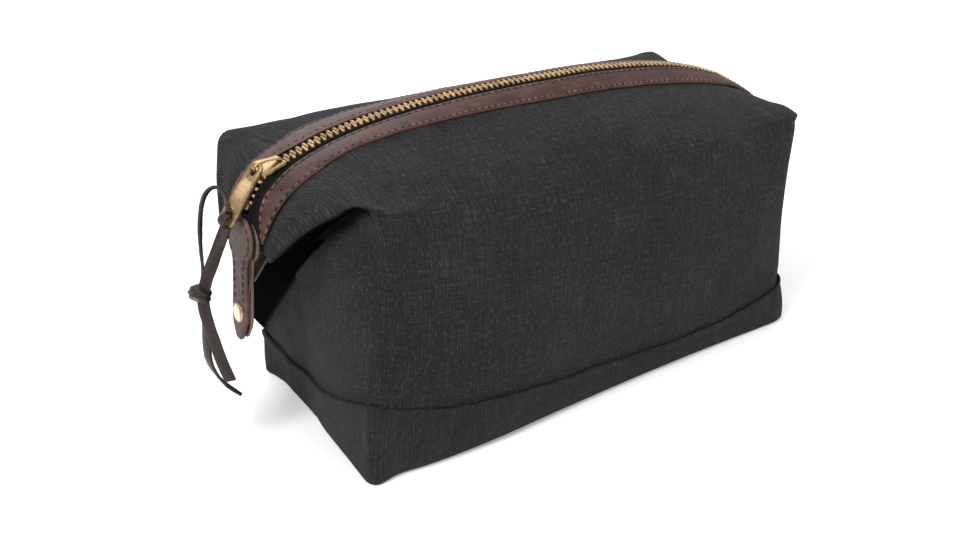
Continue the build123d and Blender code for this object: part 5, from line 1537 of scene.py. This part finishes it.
def laces():
    EDGE_ON = (-0.57, -0.71, 0.41)
    front, fp, fl = flat_lace("lace_front_strand", LACE_F, [(0, (-0.5, 0.86, 0.05)), (0.2, (-0.78, 0.62, 0.05)), (0.45, (-0.78, 0.62, 0.1)), (0.6, (-0.7, 0.7, 0.1)), (0.8, (-0.78, 0.6, 0)), (1.0, (-0.8, 0.6, 0.1))], 2.5, 0.7, False, 71)
    rear, rp, rl = flat_lace("lace_rear_strand", LACE_R, [(0, (0.3, 0.95, -0.2)), (0.08, (0.5, 0.8, -0.3)), (0.16, (0.57, 0.71, -0.41)), (0.3, (0.57, 0.75, -0.3)), (0.5, (0.25, 0.95, -0.2)), (0.62, (-0.35, 0.93, 0.0)), (0.78, (-0.1, 0.99, 0.0)), (1.0, (0.3, 0.9, 0.1))], 2.5, 0.7, True, 81)
    print("lace lengths", fl, rl)
    # turn of the lace round the eye's bar
    V, R, C = [], [], []
    seg = 30
    ts = np.linspace(0, 2 * math.pi, seg, endpoint=False)
    for i, an in enumerate(ts):
        c = np.array([math.cos(an), 0, math.sin(an)])
        for (u, v), rf in zip(LACE_SECTION, LACE_RIM):
            wob = 0.12 * clay(3 * math.cos(an), u, 3 * math.sin(an), 0.5, 91)
            V.append(BXZ + c * (2.42 + v * 0.66 + wob) + np.array([0, u * 2.45, 0]))
            R.append(rf)
            C.append((an * 2.4 * MM, u * 2.5 * MM, 0))
    k = len(LACE_SECTION)
    F = [(i * k + j, i * k + (j + 1) % k, ((i + 1) % seg) * k + (j + 1) % k, ((i + 1) % seg) * k + j) for i in range(seg) for j in range(k)]
    loop = mesh_obj("lace_turn", V, F, [LACEL], attrs={"rim": np.array(R), "cloth": np.array(C)})
    # knot: a wrapped band round both strands, with small ears where the ends come through
    KC = np.array([-171.6, 0.6, 75.6])
    an = math.radians(12)
    kx, kz = np.array([math.cos(an), 0, -math.sin(an)]), np.array([math.sin(an), 0, math.cos(an)])
    V, R, C = [], [], []
    rings_ = np.linspace(-1, 1, 13)
    seg = 36
    for i, q in enumerate(rings_):
        k_ = (1 - abs(q) ** 3.2 * 0.45)
        for j in range(seg):
            a2 = 2 * math.pi * j / seg
            wrap = 0.28 * math.sin(2 * math.pi * (q * 1.3 + 0.5 * math.sin(a2))) + 0.2 * clay(math.cos(a2) * 3, q * 3, math.sin(a2) * 3, 0.5, 95)
            ex, ey = 4.3 * k_ + wrap, 5.4 * k_ + wrap
            V.append(KC + kx * ex * math.cos(a2) + np.array([0, 1, 0]) * ey * math.sin(a2) + kz * (q * 3.2 + 0.9 * math.sin(a2 * 2 + 0.6)))
            R.append(0.25 if abs(q) < 0.9 else 0.8)
            C.append((a2 * 4 * MM, q * 3 * MM, 0))
    F = [(i * seg + j, i * seg + (j + 1) % seg, (i + 1) * seg + (j + 1) % seg, (i + 1) * seg + j) for i in range(len(rings_) - 1) for j in range(seg)]
    F.append(tuple(range(seg - 1, -1, -1)))
    F.append(tuple((len(rings_) - 1) * seg + j for j in range(seg)))
    knot = mesh_obj("lace_knot_wrap", V, F, [LACEL], attrs={"rim": np.array(R), "cloth": np.array(C)})
    import bmesh
    for ob in (loop, knot):
        bm = bmesh.new(); bm.from_mesh(ob.data); bmesh.ops.recalc_face_normals(bm, faces=bm.faces); bm.to_mesh(ob.data); bm.free()
        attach(ob, "lace")
    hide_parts("lace_front"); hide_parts("lace_rear")
    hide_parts("lace_loop"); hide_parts("lace_knot")


BRASS_S = metal_material("brass_slider", lin(122, 98, 64), lin(182, 152, 108), (0.34, 0.5))
TABR = leather_material("tab_leather_back", lin(42, 30, 26), lin(68, 52, 46), lin(96, 76, 68), lin(132, 108, 92), rough=(0.45, 0.65), wear=0.7)
THREAD_T = leather_material("tab_thread", lin(20, 14, 14), lin(38, 28, 27), lin(66, 50, 46), lin(60, 44, 40), rough=(0.4, 0.6), wear=0.0)
slider()
pull()
stops()
tabs()
laces()


# ------------------------------------------------------------------ studio
def studio():
    fl = bpy.data.meshes.new("floor")
    fl.from_pydata([(-3, -3, 0), (3, -3, 0), (3, 3, 0), (-3, 3, 0)], [], [(0, 1, 2, 3)])
    f = bpy.data.objects.new("floor", fl)
    bpy.context.scene.collection.objects.link(f)
    n = Nodes("floor_pale")
    c = n.noise(n.coords(), 3.0, 2.0)
    n.set(base=n.ramp(c, [(0.3, (0.86, 0.86, 0.86)), (0.7, (0.9, 0.9, 0.9))]), rough=0.9, spec=0.1)
    fl.materials.append(n.mat)
    w = bpy.data.worlds.new("studio")
    bpy.context.scene.world = w
    w.use_nodes = True
    w.node_tree.nodes["Background"].inputs[0].default_value = (1, 1, 1, 1)
    w.node_tree.nodes["Background"].inputs[1].default_value = 0.9

    def area(name, loc, target, size, power, col=(1, 1, 1)):
        d = bpy.data.lights.new(name, "AREA")
        d.energy, d.size, d.color = power, size, col
        d.shape = "DISK"
        o = bpy.data.objects.new(name, d)
        bpy.context.scene.collection.objects.link(o)
        o.location = loc
        o.rotation_mode = "QUATERNION"
        o.rotation_quaternion = (Vector(target) - Vector(loc)).to_track_quat("-Z", "Y")
        return o

    area("key", (-0.75, -0.25, 0.95), (0, 0, 0.06), 0.45, 11.0)
    area("fill", (0.5, -1.1, 0.7), (0, 0, 0.06), 0.7, 5.0)
    area("back", (0.2, 0.9, 0.9), (0, 0, 0.08), 0.6, 5.0)


studio()
vs = bpy.context.scene.view_settings
vs.view_transform = "Standard"
vs.look = "None"
